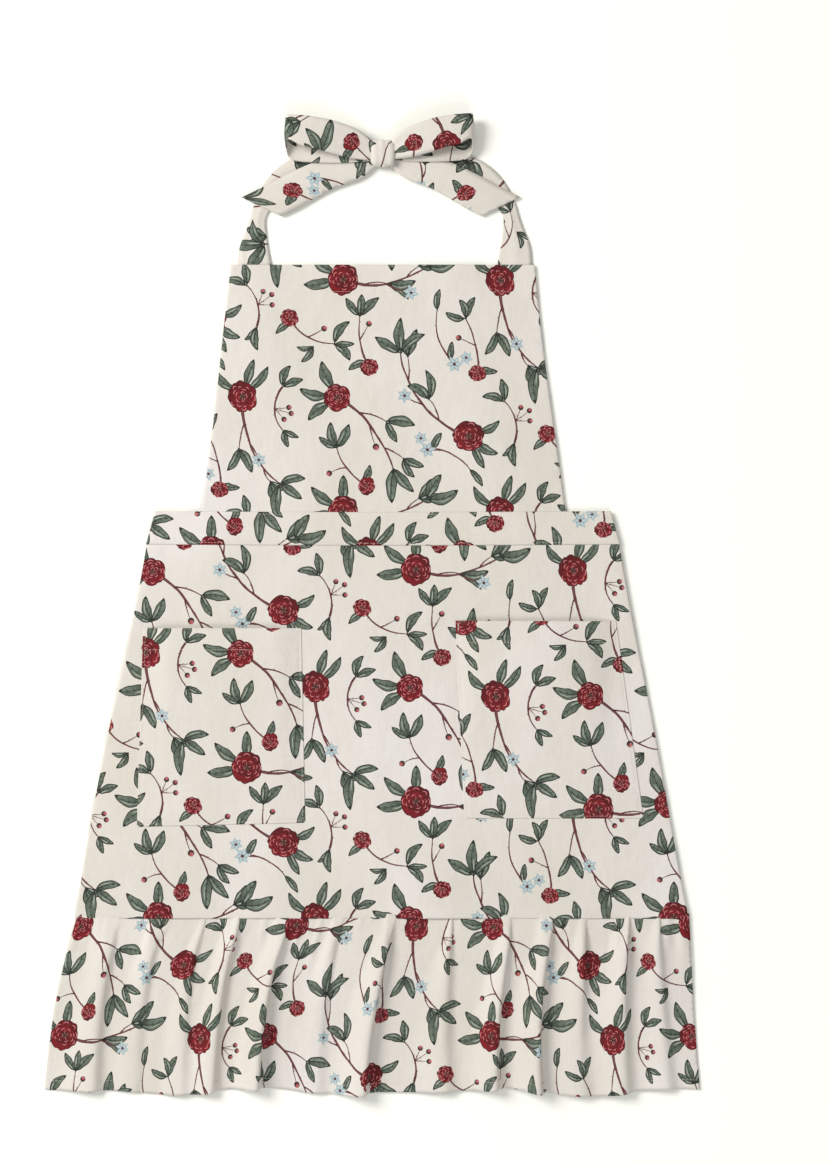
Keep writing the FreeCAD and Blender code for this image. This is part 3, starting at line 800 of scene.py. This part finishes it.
class Band:
    """A strip of cloth along two edges given as stations of 3-D points: u runs along it, and v across."""

    def __init__(self, lower, upper, crown=0.0, pleat=None, samples=160, across=17):
        low, high = self.curve(lower, samples), self.curve(upper, samples)
        q = np.linspace(0, 1, across)[None, :, None]
        grid = low[:, None] * (1 - q) + high[:, None] * q
        middle = (low + high) / 2
        steps = np.linalg.norm(np.diff(middle, axis=0), axis=1)
        self.u = np.concatenate([[0], np.cumsum(steps)])
        self.length, self.width = float(self.u[-1]), float(np.linalg.norm(high - low, axis=1).mean())
        normal = np.cross(np.gradient(middle, axis=0), high - low)
        normal /= np.linalg.norm(normal, axis=1)[:, None] + 1e-12
        swell = crown * np.sin(pi * q[..., 0])
        if pleat is not None:
            swell = swell + pleat(np.linspace(0, 1, samples)[:, None], q[..., 0])
        self.grid = grid + normal[:, None] * swell[..., None]

    @staticmethod
    def curve(stations, samples):
        """A smooth curve through the stations."""
        p = np.asarray(stations, float)
        p = np.concatenate([[2 * p[0] - p[1]], p, [2 * p[-1] - p[-2]]])
        t = np.linspace(0, len(p) - 3 - 1e-9, samples)
        i = t.astype(int)
        f = (t - i)[:, None]
        a, b, c, d = p[i], p[i + 1], p[i + 2], p[i + 3]
        squared = (2 * a - 5 * b + 4 * c - d) * f * f
        return 0.5 * (2 * b + (c - a) * f + squared + (3 * b - a - 3 * c + d) * f ** 3)

    def __call__(self, flat):
        rows, columns = self.grid.shape[:2]
        a = np.interp(flat[:, 0], self.u, np.arange(rows))
        return sampled(self.grid, a, np.clip(flat[:, 1] / self.width, 0, 1) * (columns - 1))


# -------------------------------------------------------------------------------------------- stitches
# Along one stitch: the share of its length, its thickness, and how far it stands up.
STITCH_RINGS = ((0.0, 0.35, -0.4), (0.18, 1.0, 0.7), (0.82, 1.0, 0.7), (1.0, 0.35, -0.4))
STITCH_SIDES = 6
STITCH_LIFT = 0.00008


def along(points, count):
    """Closely spaced points along a polyline."""
    points = np.asarray(points, float)
    run = np.concatenate([[0], np.cumsum(np.linalg.norm(np.diff(points, axis=0), axis=1))])
    s = np.linspace(0, run[-1], count)
    return np.stack([np.interp(s, run, points[:, k]) for k in range(points.shape[1])], 1)


def thread_row(path, length=0.0024, gap=0.0009, radius=0.00014):
    """The corners of a row of stitches along 3-D points that are close together."""
    run = np.concatenate([[0], np.cumsum(np.linalg.norm(np.diff(path, axis=0), axis=1))])
    starts = np.arange(gap / 2, run[-1] - length, length + gap)

    def at(s):
        return np.stack([np.interp(s, run, path[:, k]) for k in range(3)], 1)

    start, reach = at(starts), at(starts + length) - at(starts)
    up = np.array([0, 0, 1.0])
    side = np.cross(up, reach / (np.linalg.norm(reach, axis=1)[:, None] + 1e-12))
    side /= np.linalg.norm(side, axis=1)[:, None] + 1e-12
    angle = np.arange(STITCH_SIDES)[:, None] * 2 * pi / STITCH_SIDES
    circle = side[:, None] * np.cos(angle) + up * np.sin(angle)
    rings = [
        (start + reach * share + up * (STITCH_LIFT * raised))[:, None] + radius * size * circle
        for share, size, raised in STITCH_RINGS
    ]
    return np.stack(rings, 1).reshape(-1, 3)


def stitches(name, body, nodes, *rows):
    """Rows of thread stitches as one piece, which rides on a body and stands for CAD nodes."""
    n = STITCH_SIDES
    last = (len(STITCH_RINGS) - 1) * n
    stitch = [
        [r + k, r + (k + 1) % n, r + n + (k + 1) % n, r + n + k] for r in range(0, last, n) for k in range(n)
    ]
    stitch += [list(range(n))[::-1], list(range(last, last + n))]
    vertices = np.concatenate(rows)
    faces = [[base + k for k in face] for base in range(0, len(vertices), last + n) for face in stitch]
    mesh = bpy.data.meshes.new(name)
    mesh.from_pydata(vertices.tolist(), [], faces)
    mesh.polygons.foreach_set("use_smooth", [True] * len(mesh.polygons))
    mesh.materials.append(THREAD)
    piece = new_object(name, mesh)
    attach(piece, body)
    if nodes:
        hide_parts(*nodes)


# --------------------------------------------------------------------------------------------- the table
TABLE_HALF = 6.0


def make_table():
    mesh = bpy.data.meshes.new("table_top")
    corners = [(x * TABLE_HALF, y * TABLE_HALF, 0) for x, y in ((-1, -1), (1, -1), (1, 1), (-1, 1))]
    mesh.from_pydata(corners, [], [(0, 1, 2, 3)])
    material, _, shader = new_material("pale_table", 0.9)
    shader.inputs["Base Color"].default_value = (0.93, 0.935, 0.875, 1)
    mesh.materials.append(material)
    new_object("table_top", mesh)


make_table()


# ---------------------------------------------------------------------------------------- skirt and hems
UNDER_Z = PANEL_Z - 0.0013
HEM_TURN = 0.012
EDGE_RINGS = (0.0010, 0.0022)
SEWN_RINGS = (0.0008, 0.0018, 0.0026, 0.0038)


def skirt_half(y, side):
    """Half-width of the skirt, whose sides bow out a little on the way down."""
    t = np.clip((WAIST_Y - y) / (WAIST_Y - SEAM_Y), -0.05, 1.05)
    bow = 0.0036 * np.sin(pi * t) * np.sin(pi * (t - 0.12))
    trim = 0.0042 * np.sin(pi * t) if side > 0 else 0.0
    return WAIST_HALF - 0.0006 + (SKIRT_HALF - WAIST_HALF) * t + bow + side * 0.0012 * np.sin(5 * t) - trim


def side_strip(half, low_y, high_y, side, count=14):
    """The outline of a hem along one slanted side."""
    ys = np.linspace(low_y, high_y, count)
    outer = [(side * half(y, side), y) for y in ys]
    points = outer + [(side * (half(y, side) - HEM_TURN), y) for y in ys[::-1]]
    return points if side > 0 else points[::-1]


def panel_outline(half, low_y, high_y, count=16):
    ys = np.linspace(low_y, high_y, count)
    return [(half(y, 1), y) for y in ys] + [(-half(y, -1), y) for y in ys[::-1]]


skirt_outline = panel_outline(skirt_half, SEAM_Y, WAIST_Y + 0.008)
cloth_piece(
    "skirt", skirt_outline, laid(PANEL_Z, skirt_outline, roll=0.0006), "skirt_and_band", ["skirt_panel"],
    print_place=(0.031, 0.012, 0.0), rings=EDGE_RINGS,
)
for name, side in SIDES:
    cloth_piece(
        f"skirt_hem_{name}_fold", side_strip(skirt_half, SEAM_Y + 0.001, WAIST_Y, side), laid(UNDER_Z),
        "skirt_and_band", [f"skirt_hem_{name}"],
        print_place=(0.05, 0.1 * side, 0.4), down=True,
    )
cloth_piece(
    "ruffle_allowance",
    panel_outline(lambda y, side: skirt_half(y, side) - 0.0125, SEAM_Y + 0.0005, SEAM_Y + 0.010, 3),
    laid(UNDER_Z), "skirt_and_band", ["ruffle_seam_allowance"],
    down=True,
)


# ------------------------------------------------------------------------------------------- waistband
STITCH_IN = 0.0024
BAND_DIP = 0.0012


def waist_half(y):
    t = np.clip((BIB_Y - y) / (BIB_Y - WAIST_Y), 0, 1)
    return WAIST_HALF - 0.0095 * (1 - t)


def band_line(y):
    """The waistband's edges sag a little towards the middle."""
    return lambda x: y - BAND_DIP * (1 - (x / WAIST_HALF) ** 2) + BAND_DIP * 0.5


def band_outline(low, high, trim=0.0, count=24):
    xs = np.linspace(-1, 1, count)
    low_x, high_x = xs * (waist_half(low) - trim), xs * (waist_half(high) - trim)
    points = list(zip(low_x, band_line(low)(low_x)))
    return points + list(zip(high_x[::-1], band_line(high)(high_x)[::-1]))


waist_outline = band_outline(WAIST_Y, BIB_Y)
waist_lie = laid(BAND_Z + 0.0007, waist_outline, roll=0.0009, stitch=STITCH_IN)
cloth_piece(
    "waistband", waist_outline, waist_lie, "skirt_and_band", ["waistband_front"],
    step=0.005, print_place=(0.085, 0.148, 0.0), rings=SEWN_RINGS,
)
cloth_piece(
    "waistband_back", waist_outline, laid(UNDER_Z), "skirt_and_band", ["waistband_facing"],
    print_place=(0.02, 0.1, 0.0), down=True,
)
cloth_piece(
    "waistband_stiffener", band_outline(WAIST_Y + 0.002, BIB_Y - 0.002, 0.004), laid(PANEL_Z - 0.0006),
    "skirt_and_band", ["waistband_interlining"],
    step=0.012, print_place=None, thickness=0.0002,
)


def waist_row(y, half, count=500):
    xs = np.linspace(-half, half, count)
    return thread_row(waist_lie(np.stack([xs, band_line(y)(xs)], 1)))


stitches(
    "waistband_stitches", "skirt_and_band", ["waistband_stitching"],
    waist_row(WAIST_Y + STITCH_IN, WAIST_HALF - 0.003),
    waist_row(BIB_Y - STITCH_IN, waist_half(BIB_Y) - 0.003),
)


# -------------------------------------------------------------------------------------------------- bib
FACING = 0.030
BIB_FOLD = ("skirt_and_band", "bib", (0, BIB_Y - 0.0004, 0), (0, BIB_Y + 0.013, 0))


def bib_half(y, side):
    """Half-width of the bib, whose sides are very slightly hollow."""
    t = np.clip((BIB_TOP_Y - y) / (BIB_TOP_Y - BIB_Y), 0, 1.05)
    straight = BIB_TOP_HALF + (BIB_HALF - BIB_TOP_HALF) * t
    return straight - 0.0016 * np.sin(pi * t) - side * 0.0006 * np.sin(6 * t)


def lattice(xs, ys):
    """The points of a plain grid, for a place where the cloth bends."""
    return np.stack(np.meshgrid(xs, ys), 2).reshape(-1, 2)


bib_outline = panel_outline(bib_half, BIB_Y - 0.009, BIB_TOP_Y, 14)
bib_lie = laid(PANEL_Z, bib_outline, roll=0.0006)
cloth_piece(
    "bib_front", bib_outline, bib_lie, "bib", ["bib_panel", "bib_seam_allowance"],
    blend=BIB_FOLD, print_place=(-0.043, 0.071, 0.0), rings=EDGE_RINGS,
    extra=[lattice(np.linspace(-0.18, 0.18, 90), BIB_Y + np.linspace(-0.001, 0.015, 9))],
)
turned = BIB_TOP_Y - FACING
cloth_piece(
    "bib_facing", panel_outline(bib_half, turned, BIB_TOP_Y - 0.0003, 4), laid(PANEL_Z - 0.0012), "bib",
    ["bib_top_facing"], print_place=(0.1, 0.05, 3.1), down=True,
)
for name, side in SIDES:
    cloth_piece(
        f"bib_hem_{name}_fold", side_strip(bib_half, BIB_Y + 0.0006, turned - 0.0004, side),
        laid(PANEL_Z - 0.0011), "bib", [f"bib_hem_{name}"],
        blend=BIB_FOLD, print_place=(0.07, 0.1 * side, 0.6), down=True, step=0.004,
    )
sewn_y = turned + 0.0024
sewn_left, sewn_right = -bib_half(sewn_y, -1) + 0.003, bib_half(sewn_y, 1) - 0.003
bib_row = np.linspace((sewn_left, sewn_y), (sewn_right, sewn_y), 600)
stitches("bib_top_stitches", "bib", ["bib_stitching"], thread_row(bib_lie(bib_row)))


# ---------------------------------------------------------------------------------------------- pockets
CORNER_CUT = 0.0022
HEM_ROW_DROP = 0.0195


def make_pocket(name, corners, print_place):
    """A patch pocket. Its corners are lower left, lower right, upper right and upper left."""
    (ax, ay), (bx, by), (cx, cy), (dx, dy) = corners
    outline = np.array([
        (ax + CORNER_CUT, ay), (bx - CORNER_CUT, by), (bx, by + CORNER_CUT), (cx, cy), (dx, dy),
        (ax, ay + CORNER_CUT),
    ])
    middle_x, half = (cx + dx) / 2, (cx - dx) / 2

    def swell(x, y):
        """The pocket stands off the skirt, most of all at the middle of its mouth."""
        across = np.clip(1 - ((x - middle_x) / half) ** 2, 0, 1)
        up = np.clip((y - ay) / (dy - ay), 0, 1)
        ripple = 0.0011 * np.sin(x * 70 + y * 21) * across * up * (1 - up)
        return 0.0046 * smooth(across * 1.6) * smooth(up * 1.25) + ripple

    lie_pocket = laid(PANEL_Z + 0.0008, outline, roll=0.0004, stitch=STITCH_IN, crown=swell)
    cloth_piece(
        f"pocket_{name}_front", outline, lie_pocket, "skirt_and_band", [f"pocket_{name}"],
        step=0.005, print_place=print_place, rings=SEWN_RINGS,
    )
    strip = [
        (dx + 0.024, dy - 0.022), (cx - 0.024, cy - 0.022),
        (cx - 0.023, cy - 0.0002), (dx + 0.023, dy - 0.0002),
    ]
    cloth_piece(
        f"pocket_{name}_turned_hem", strip, laid(PANEL_Z - 0.0003, crown=swell), "skirt_and_band",
        [f"pocket_hem_{name}"],
        step=0.005, down=True,
    )
    sewn = inset(outline, STITCH_IN)
    sides = thread_row(lie_pocket(along(np.roll(sewn, 2, axis=0), 700)))
    stitches(f"pocket_{name}_stitches", "skirt_and_band", [f"pocket_stitching_{name}"], sides)
    drop = (0, HEM_ROW_DROP)
    rows = [thread_row(lie_pocket(np.linspace(sewn[4] - drop, sewn[3] - drop, 300)))]
    for corner in (sewn[3], sewn[4]):
        toward = np.sign(middle_x - corner[0])
        zigzag = [
            corner + (toward * (0.0012 if k % 2 else -0.0004), -0.0005 - 0.00045 * k) for k in range(15)
        ]
        rows.append(thread_row(lie_pocket(along(zigzag, 90)), length=0.0014, gap=0.0001, radius=0.0002))
    stitches(f"pocket_{name}_tacks", "skirt_and_band", [f"pocket_bartacks_{name}"], *rows)


make_pocket(
    "left",
    ((-0.2500, -0.2235), (-0.0790, -0.2195), (-0.0828, -0.0215), (-0.2437, -0.0215)),
    (0.121, 0.165, 0.0),
)
make_pocket(
    "right",
    ((0.0826, -0.2150), (0.2647, -0.2150), (0.2372, -0.0145), (0.0737, -0.0140)),
    (-0.052, 0.117, 0.02),
)


# ----------------------------------------------------------------------------------------------- ruffle
RUFFLE_FLAT = 0.800
TUCK = 0.005
RUFFLE_DEEP = 0.184 + TUCK
RUFFLE_FOLD = ("skirt_and_band", "ruffle", (0, SEAM_Y + 0.0004, 0), (0, SEAM_Y - 0.014, 0))
# Each deep fold: place along the strip, steepness at seam and hem, half-width at seam and hem, and drift
# to the hem. Its left flank is gentle and its right flank is steep, by the ratio LEAN.
LEAN = 0.45
STEEPEST = 1.46
DEEP_FOLDS = (
    (0.060, 0.42, 0.35, 0.0080, 0.0190, 0.004),
    (0.125, 0.45, 0.15, 0.0070, 0.0190, 0.000),
    (0.190, 0.35, 0.25, 0.0060, 0.0170, 0.003),
    (0.250, 0.72, 0.55, 0.0085, 0.0160, -0.008),
    (0.330, 0.74, 0.80, 0.0090, 0.0170, -0.010),
    (0.415, 0.45, 0.15, 0.0060, 0.0160, 0.004),
    (0.505, 0.78, 0.68, 0.0095, 0.0180, -0.012),
    (0.600, 0.42, 0.25, 0.0070, 0.0170, 0.004),
    (0.692, 0.70, 0.60, 0.0085, 0.0160, -0.010),
    (0.757, 0.76, 0.74, 0.0090, 0.0165, 0.000),
    (0.822, 0.62, 0.20, 0.0075, 0.0170, 0.004),
    (0.893, 0.78, 0.34, 0.0080, 0.0180, -0.004),
    (0.950, 0.48, 0.25, 0.0070, 0.0150, 0.003),
)
GATHERS = 46


def make_gathers():
    """The ruffle's folds, as in DEEP_FOLDS with a reach: how far down from the seam a small gather goes."""
    rng = random.Random(21)
    gathers = [(*fold, None) for fold in DEEP_FOLDS]
    for k in range(GATHERS):
        share = (k + 0.5 + rng.uniform(-0.3, 0.3)) / GATHERS
        steep, reach = rng.uniform(0.5, 1.1), rng.uniform(0.07, 0.28)
        wide, drift = rng.uniform(0.0026, 0.0040), rng.uniform(-0.005, 0.005)
        gathers.append((share, steep, 0.06, wide, 0.007, drift, reach))
    return gathers


class Gathered:
    """The ruffle: u runs along the gathered edge of the flat strip, and v up from its hem."""

    ROWS, COLUMNS = 60, 2200

    def __init__(self):
        s = np.linspace(0, RUFFLE_FLAT, self.COLUMNS)
        v = np.linspace(0, 1, self.ROWS)[:, None]
        slope = np.zeros((self.ROWS, self.COLUMNS))
        for share, steep_seam, steep_hem, wide_seam, wide_hem, drift, reach in make_gathers():
            grow = smooth(v * 1.15)
            fade = np.exp(-((v / reach) ** 2)) if reach else 1.0
            steep = (steep_seam + (steep_hem - steep_seam) * grow) * fade
            wide = wide_seam + (wide_hem - wide_seam) * v ** 0.7
            t = (s[None] - share * RUFFLE_FLAT - drift * v) / wide
            lean = 1.0 if reach else np.where(t > 0, LEAN, 1.0)
            t = t / lean
            slope += -steep / lean * t * np.exp((1 - t * t) / 2)
        slope = np.clip(slope, -STEEPEST, STEEPEST)
        ds = s[1] - s[0]
        x = np.cumsum(np.cos(slope), axis=1) * ds
        z = np.cumsum(np.sin(slope), axis=1) * ds
        x = (x - x[:, :1]) / (x[:, -1:] - x[:, :1])
        z -= z[:, :1] + (z[:, -1:] - z[:, :1]) * x
        z = np.maximum(z, 0) * (0.16 + 0.84 * smooth(v * 5 + 0.05))
        sway = (0.0045 * np.sin(9 * x + 1.0) + 0.0025 * np.sin(23 * x)) * v * np.sin(pi * x)
        left = -0.3105 - (0.3440 - 0.3105) * v - 0.0055 * np.sin(pi * v)
        right = 0.3115 + (0.3225 - 0.3115) * v - 0.0010 * np.sin(pi * v)
        hem = -0.4925 - 0.0026 * np.sin(x * 19 + 4.6) - 0.0016 * np.sin(x * 31 + 1.2) - 0.12 * z
        top = SEAM_Y + TUCK
        base = 0.0023 + (0.0006 - 0.0023) * smooth(v * 1.1)
        floor = 0.0007 + 0.0005 * np.sin(14 * x + 5 * v)
        self.grid = np.stack([
            left + (right - left) * x + sway,
            top + (hem - top) * v,
            base + z * (0.80 + 0.15 * v) + floor * smooth(v * 3) + 0.0006,
        ], 2)

    def __call__(self, flat):
        down = np.clip(1 - flat[:, 1] / RUFFLE_DEEP, 0, 1) * (self.ROWS - 1)
        return sampled(self.grid, down, np.clip(flat[:, 0] / RUFFLE_FLAT, 0, 1) * (self.COLUMNS - 1))


def just_below(place, drop=0.0006, lowest=0.0005):
    """The same lie, a little lower."""

    def lower(flat):
        points = place(flat)
        points[:, 2] = np.maximum(points[:, 2] - drop, lowest)
        return points

    return lower


def strip_outline(length, width):
    return [(0, 0), (length, 0), (length, width), (0, width)]


gathered = Gathered()
near_seam = RUFFLE_DEEP - np.array([0.0012, 0.005, 0.009, 0.014, 0.020])
cloth_piece(
    "ruffle_cloth", strip_outline(RUFFLE_FLAT, RUFFLE_DEEP), gathered, "ruffle", ["ruffle"],
    blend=RUFFLE_FOLD, step=0.0036, print_place=(0.013, 0.033, 0.0),
    extra=[lattice(np.arange(0.0015, RUFFLE_FLAT, 0.0026), near_seam)],
)
hem_start, hem_end = 0.0005, RUFFLE_FLAT - 0.0005
cloth_piece(
    "ruffle_hem_fold",
    [(hem_start, 0.0004), (hem_end, 0.0004), (hem_end, HEM_TURN), (hem_start, HEM_TURN)],
    just_below(gathered), "ruffle", ["ruffle_hem"],
    step=0.0032, print_place=(0.2, 0.01, 0.0), thickness=0.0004, down=True,
)
hem_row = gathered(np.linspace((0.002, 0.0100), (RUFFLE_FLAT - 0.002, 0.0100), 2400))
stitches("ruffle_hem_stitches", "ruffle", [], thread_row(hem_row, length=0.0028))


# ----------------------------------------------------------------------------------- neck ties and bow
TIE_WIDTH = 0.034
NECK_FOLD = ("bib", "neck_loop", (0, BIB_TOP_Y - 0.0002, 0), (0, BIB_TOP_Y + 0.013, 0))
# Stations along each strip, from the knot's middle: (x, y) in mm and height over the table in mm.
# First the left side as it lies; the right side is its mirror image with its own reach and drop.
NECK_OUTER = (
    (-147, -132, 1.2), (-147.5, -111, 1.4), (-145.5, -94, 1.9), (-139.5, -79, 2.3), (-135, -66, 2.2),
    (-131, -51, 1.8), (-125, -37, 1.6), (-117, -24.5, 1.6), (-106, -13.5, 1.7), (-92, -5, 1.8),
    (-68, 1, 1.9), (-40, 5, 2.1), (-17, 7, 2.6),
)
NECK_INNER = (
    (-113, -132, 1.2), (-113.5, -111, 1.4), (-116.5, -95, 1.7), (-118.6, -79, 1.8), (-119, -66, 1.8),
    (-114, -56, 1.7), (-103, -47, 1.5), (-92, -41, 1.5), (-79, -33, 1.6), (-65, -27, 1.7),
    (-48, -21, 1.8), (-32, -15, 2.0), (-17, -8, 2.5),
)
TAIL_UPPER = (
    (-8, 5, 6.2), (-26, 2.5, 5.8), (-51.5, -2.6, 5.6), (-76, -11, 5.4), (-100, -22, 4.6), (-122, -33.5, 4.0),
    (-143.6, -44.0, 3.5),
)
TAIL_LOWER = (
    (-7, -11.5, 5.4), (-22, -24.4, 5.0), (-49.4, -34.8, 4.6), (-66.7, -43.8, 4.6), (-86, -55, 4.6),
    (-103, -63.3, 4.2),
)
LOOP_UPPER = (
    (-8, 9, 11.0), (-22, 21.4, 14.5), (-39, 28.5, 17.5), (-57.5, 33.6, 19.5), (-80, 36.8, 20.5),
    (-96, 37.9, 18.5), (-98.5, 37.4, 11.5), (-96, 35.0, 5.6), (-70, 29, 7.2), (-40, 18, 7.6), (-8, 7, 8.0),
)
LOOP_LOWER = (
    (-8, -8, 10.5), (-30, -6, 12.5), (-52, -1.0, 15.5), (-66.7, 3.5, 17.2), (-83, 6.8, 18.2),
    (-96, 13.0, 17.5), (-98.5, 3.5, 11.0), (-93.3, -6, 5.2), (-69.7, -9.2, 7.0), (-40, -9.5, 7.4),
    (-8, -7.5, 7.8),
)


def beside(stations, side, reach, drop):
    """Stations in metres on one side of the knot; reach stretches them sideways."""
    return [(KNOT.x - side * x * reach * MM, KNOT.y + (y + drop) * MM, z * MM) for x, y, z in stations]


def crease(t, q):
    """A lengthwise ridge in a neck tie, which fades towards the knot."""
    return 0.0011 * np.exp(-(((q - 0.5) / 0.13) ** 2)) * (1 - 0.5 * t)


def knot_pleats(depth, count, near_end=True):
    """Pleats that run into the knot and open out away from it."""

    def swell(t, q):
        start = np.exp(-((t / 0.16) ** 2))
        end = np.exp(-(((1 - t) / 0.16) ** 2)) if near_end else 0.0
        soft = 0.35 * depth * np.sin(pi * (2.3 * q + 1.7 * t))
        return depth * (start + end) * np.sin(2 * pi * count * q) + soft * np.sin(pi * t)

    return swell


def tie_piece(name, band, body, nodes, print_place, step=0.004, thickness=0.0009, blend=None):
    """A piece of tie: a tube of cloth pressed flat."""
    cloth_piece(
        f"{name}_strip", strip_outline(band.length, band.width), band, body, nodes,
        blend=blend, step=step, print_place=print_place, thickness=thickness, both=True,
    )


def make_bow_side(name, side, neck_reach, tail_reach, loop_reach, drop):
    """One side of the neck loop: the tie, and over it the bow's tail and its loop."""
    neck_edges = (NECK_INNER, NECK_OUTER)[:: -side]
    neck = Band(
        *(beside(edge, side, neck_reach, drop) for edge in neck_edges),
        crown=0.0004, pleat=crease, samples=260,
    )
    tie_piece(
        f"neck_tie_{name}", neck, "neck_loop", [f"neck_tie_{name}", f"neck_tie_end_{name}"],
        (0.03 + 0.05 * side, 0.052, 0.0), step=0.0036, blend=NECK_FOLD,
    )
    tail_edges = (TAIL_LOWER, TAIL_UPPER)[::side]
    tail = Band(
        *(beside(edge, side, tail_reach, drop * 0.5) for edge in tail_edges),
        crown=0.0007, pleat=knot_pleats(0.0009, 2, near_end=False),
    )
    tail_rose = (tail.length - 0.036, 0.014 - 0.002 * side)
    tie_piece(
        f"bow_tail_{name}", tail, "neck_loop", [f"bow_tail_{name}"],
        rose_at(tail_rose, 0.4 + 2.4 * (side > 0), which=1),
    )
    loop_edges = (LOOP_LOWER, LOOP_UPPER)[::side]
    loop = Band(
        *(beside(edge, side, loop_reach, drop * 2) for edge in loop_edges),
        crown=0.0012, pleat=knot_pleats(0.0008, 2.5), samples=300,
    )
    tie_piece(
        f"bow_loop_{name}", loop, "neck_loop", [f"bow_loop_{name}"],
        rose_at((0.026, 0.014), 1.0 + side * 0.9, which=2),
    )


make_bow_side("left", -1, 1.0, 1.0, 1.0, 0.0)
make_bow_side("right", 1, 1.03, 0.972, 0.93, 0.6)


class KnotWrap:
    """The band that is wound round the bow's middle: u runs round it, and v across, from left to right."""

    half = (0.0122, 0.0138, 0.0066)
    size = (0.066, 0.028)
    middle = (KNOT.x - 0.0002, KNOT.y, 0.0086)

    def __call__(self, flat):
        a = flat[:, 0] / self.size[0] * 2 * pi
        t = np.clip(flat[:, 1] / self.size[1] * 2 - 1, -1, 1)
        swell = (1 - np.abs(t) ** 3.2) ** 0.5
        ridge = 1 + 0.040 * np.cos(t * 9.0 + 0.8 * np.sin(a)) * (1 - t ** 2) + 0.02 * np.sin(3 * a + 4 * t)
        pull = 0.62 + 0.38 * swell

        def rounded(value):
            return np.sign(value) * np.abs(value) ** 0.72

        y = rounded(np.sin(a)) * self.half[1] * pull * ridge
        z = -rounded(np.cos(a)) * self.half[2] * pull * ridge
        return np.stack([self.middle[0] + t * self.half[0], self.middle[1] + y, self.middle[2] + z], 1)


cloth_piece(
    "bow_knot_wrap", strip_outline(*KnotWrap.size), KnotWrap(), "neck_loop", ["bow_knot"],
    step=0.0016, print_place=(0.205, 0.09, 0.9), thickness=0.0008,
)


# ------------------------------------------------------------------------------------------- waist ties
WAIST_TIE_RUN = 0.3705
WAIST_TIE_TILT = 70 * pi / 180
# Each tie goes down under the skirt, turns over and comes back: share of the run, and height in mm.
WAIST_TIE_STATIONS = (
    (-0.02, 1.35), (0.0, 1.35), (0.25, 1.25), (0.5, 1.4), (0.75, 1.3), (0.985, 1.2),
    (1.0, 0.85), (0.985, 0.5), (0.75, 0.5), (0.5, 0.52), (0.25, 0.5), (0.02, 0.5),
)


def make_waist_tie(body, side):
    joint = next(j for j in frame["record"]["behaviour"]["joints"] if j["name"] == f"{body}_swing")
    pivot = np.array(joint["pos_m"][:2])
    aim = np.array([-side * cos(WAIST_TIE_TILT), -sin(WAIST_TIE_TILT)])
    across = np.array([-aim[1], aim[0]])
    low_edge, high_edge = (
        [
            (*(pivot + aim * WAIST_TIE_RUN * share + across * q * TIE_WIDTH), height * MM)
            for share, height in WAIST_TIE_STATIONS
        ]
        for q in (-0.5, 0.5)
    )
    tie = Band(low_edge, high_edge, samples=400)
    tie_piece(body, tie, body, [body], (0.02, 0.03, 0.0), step=0.005, thickness=0.0004)


for name, side in SIDES:
    make_waist_tie(f"waist_tie_{name}", side)
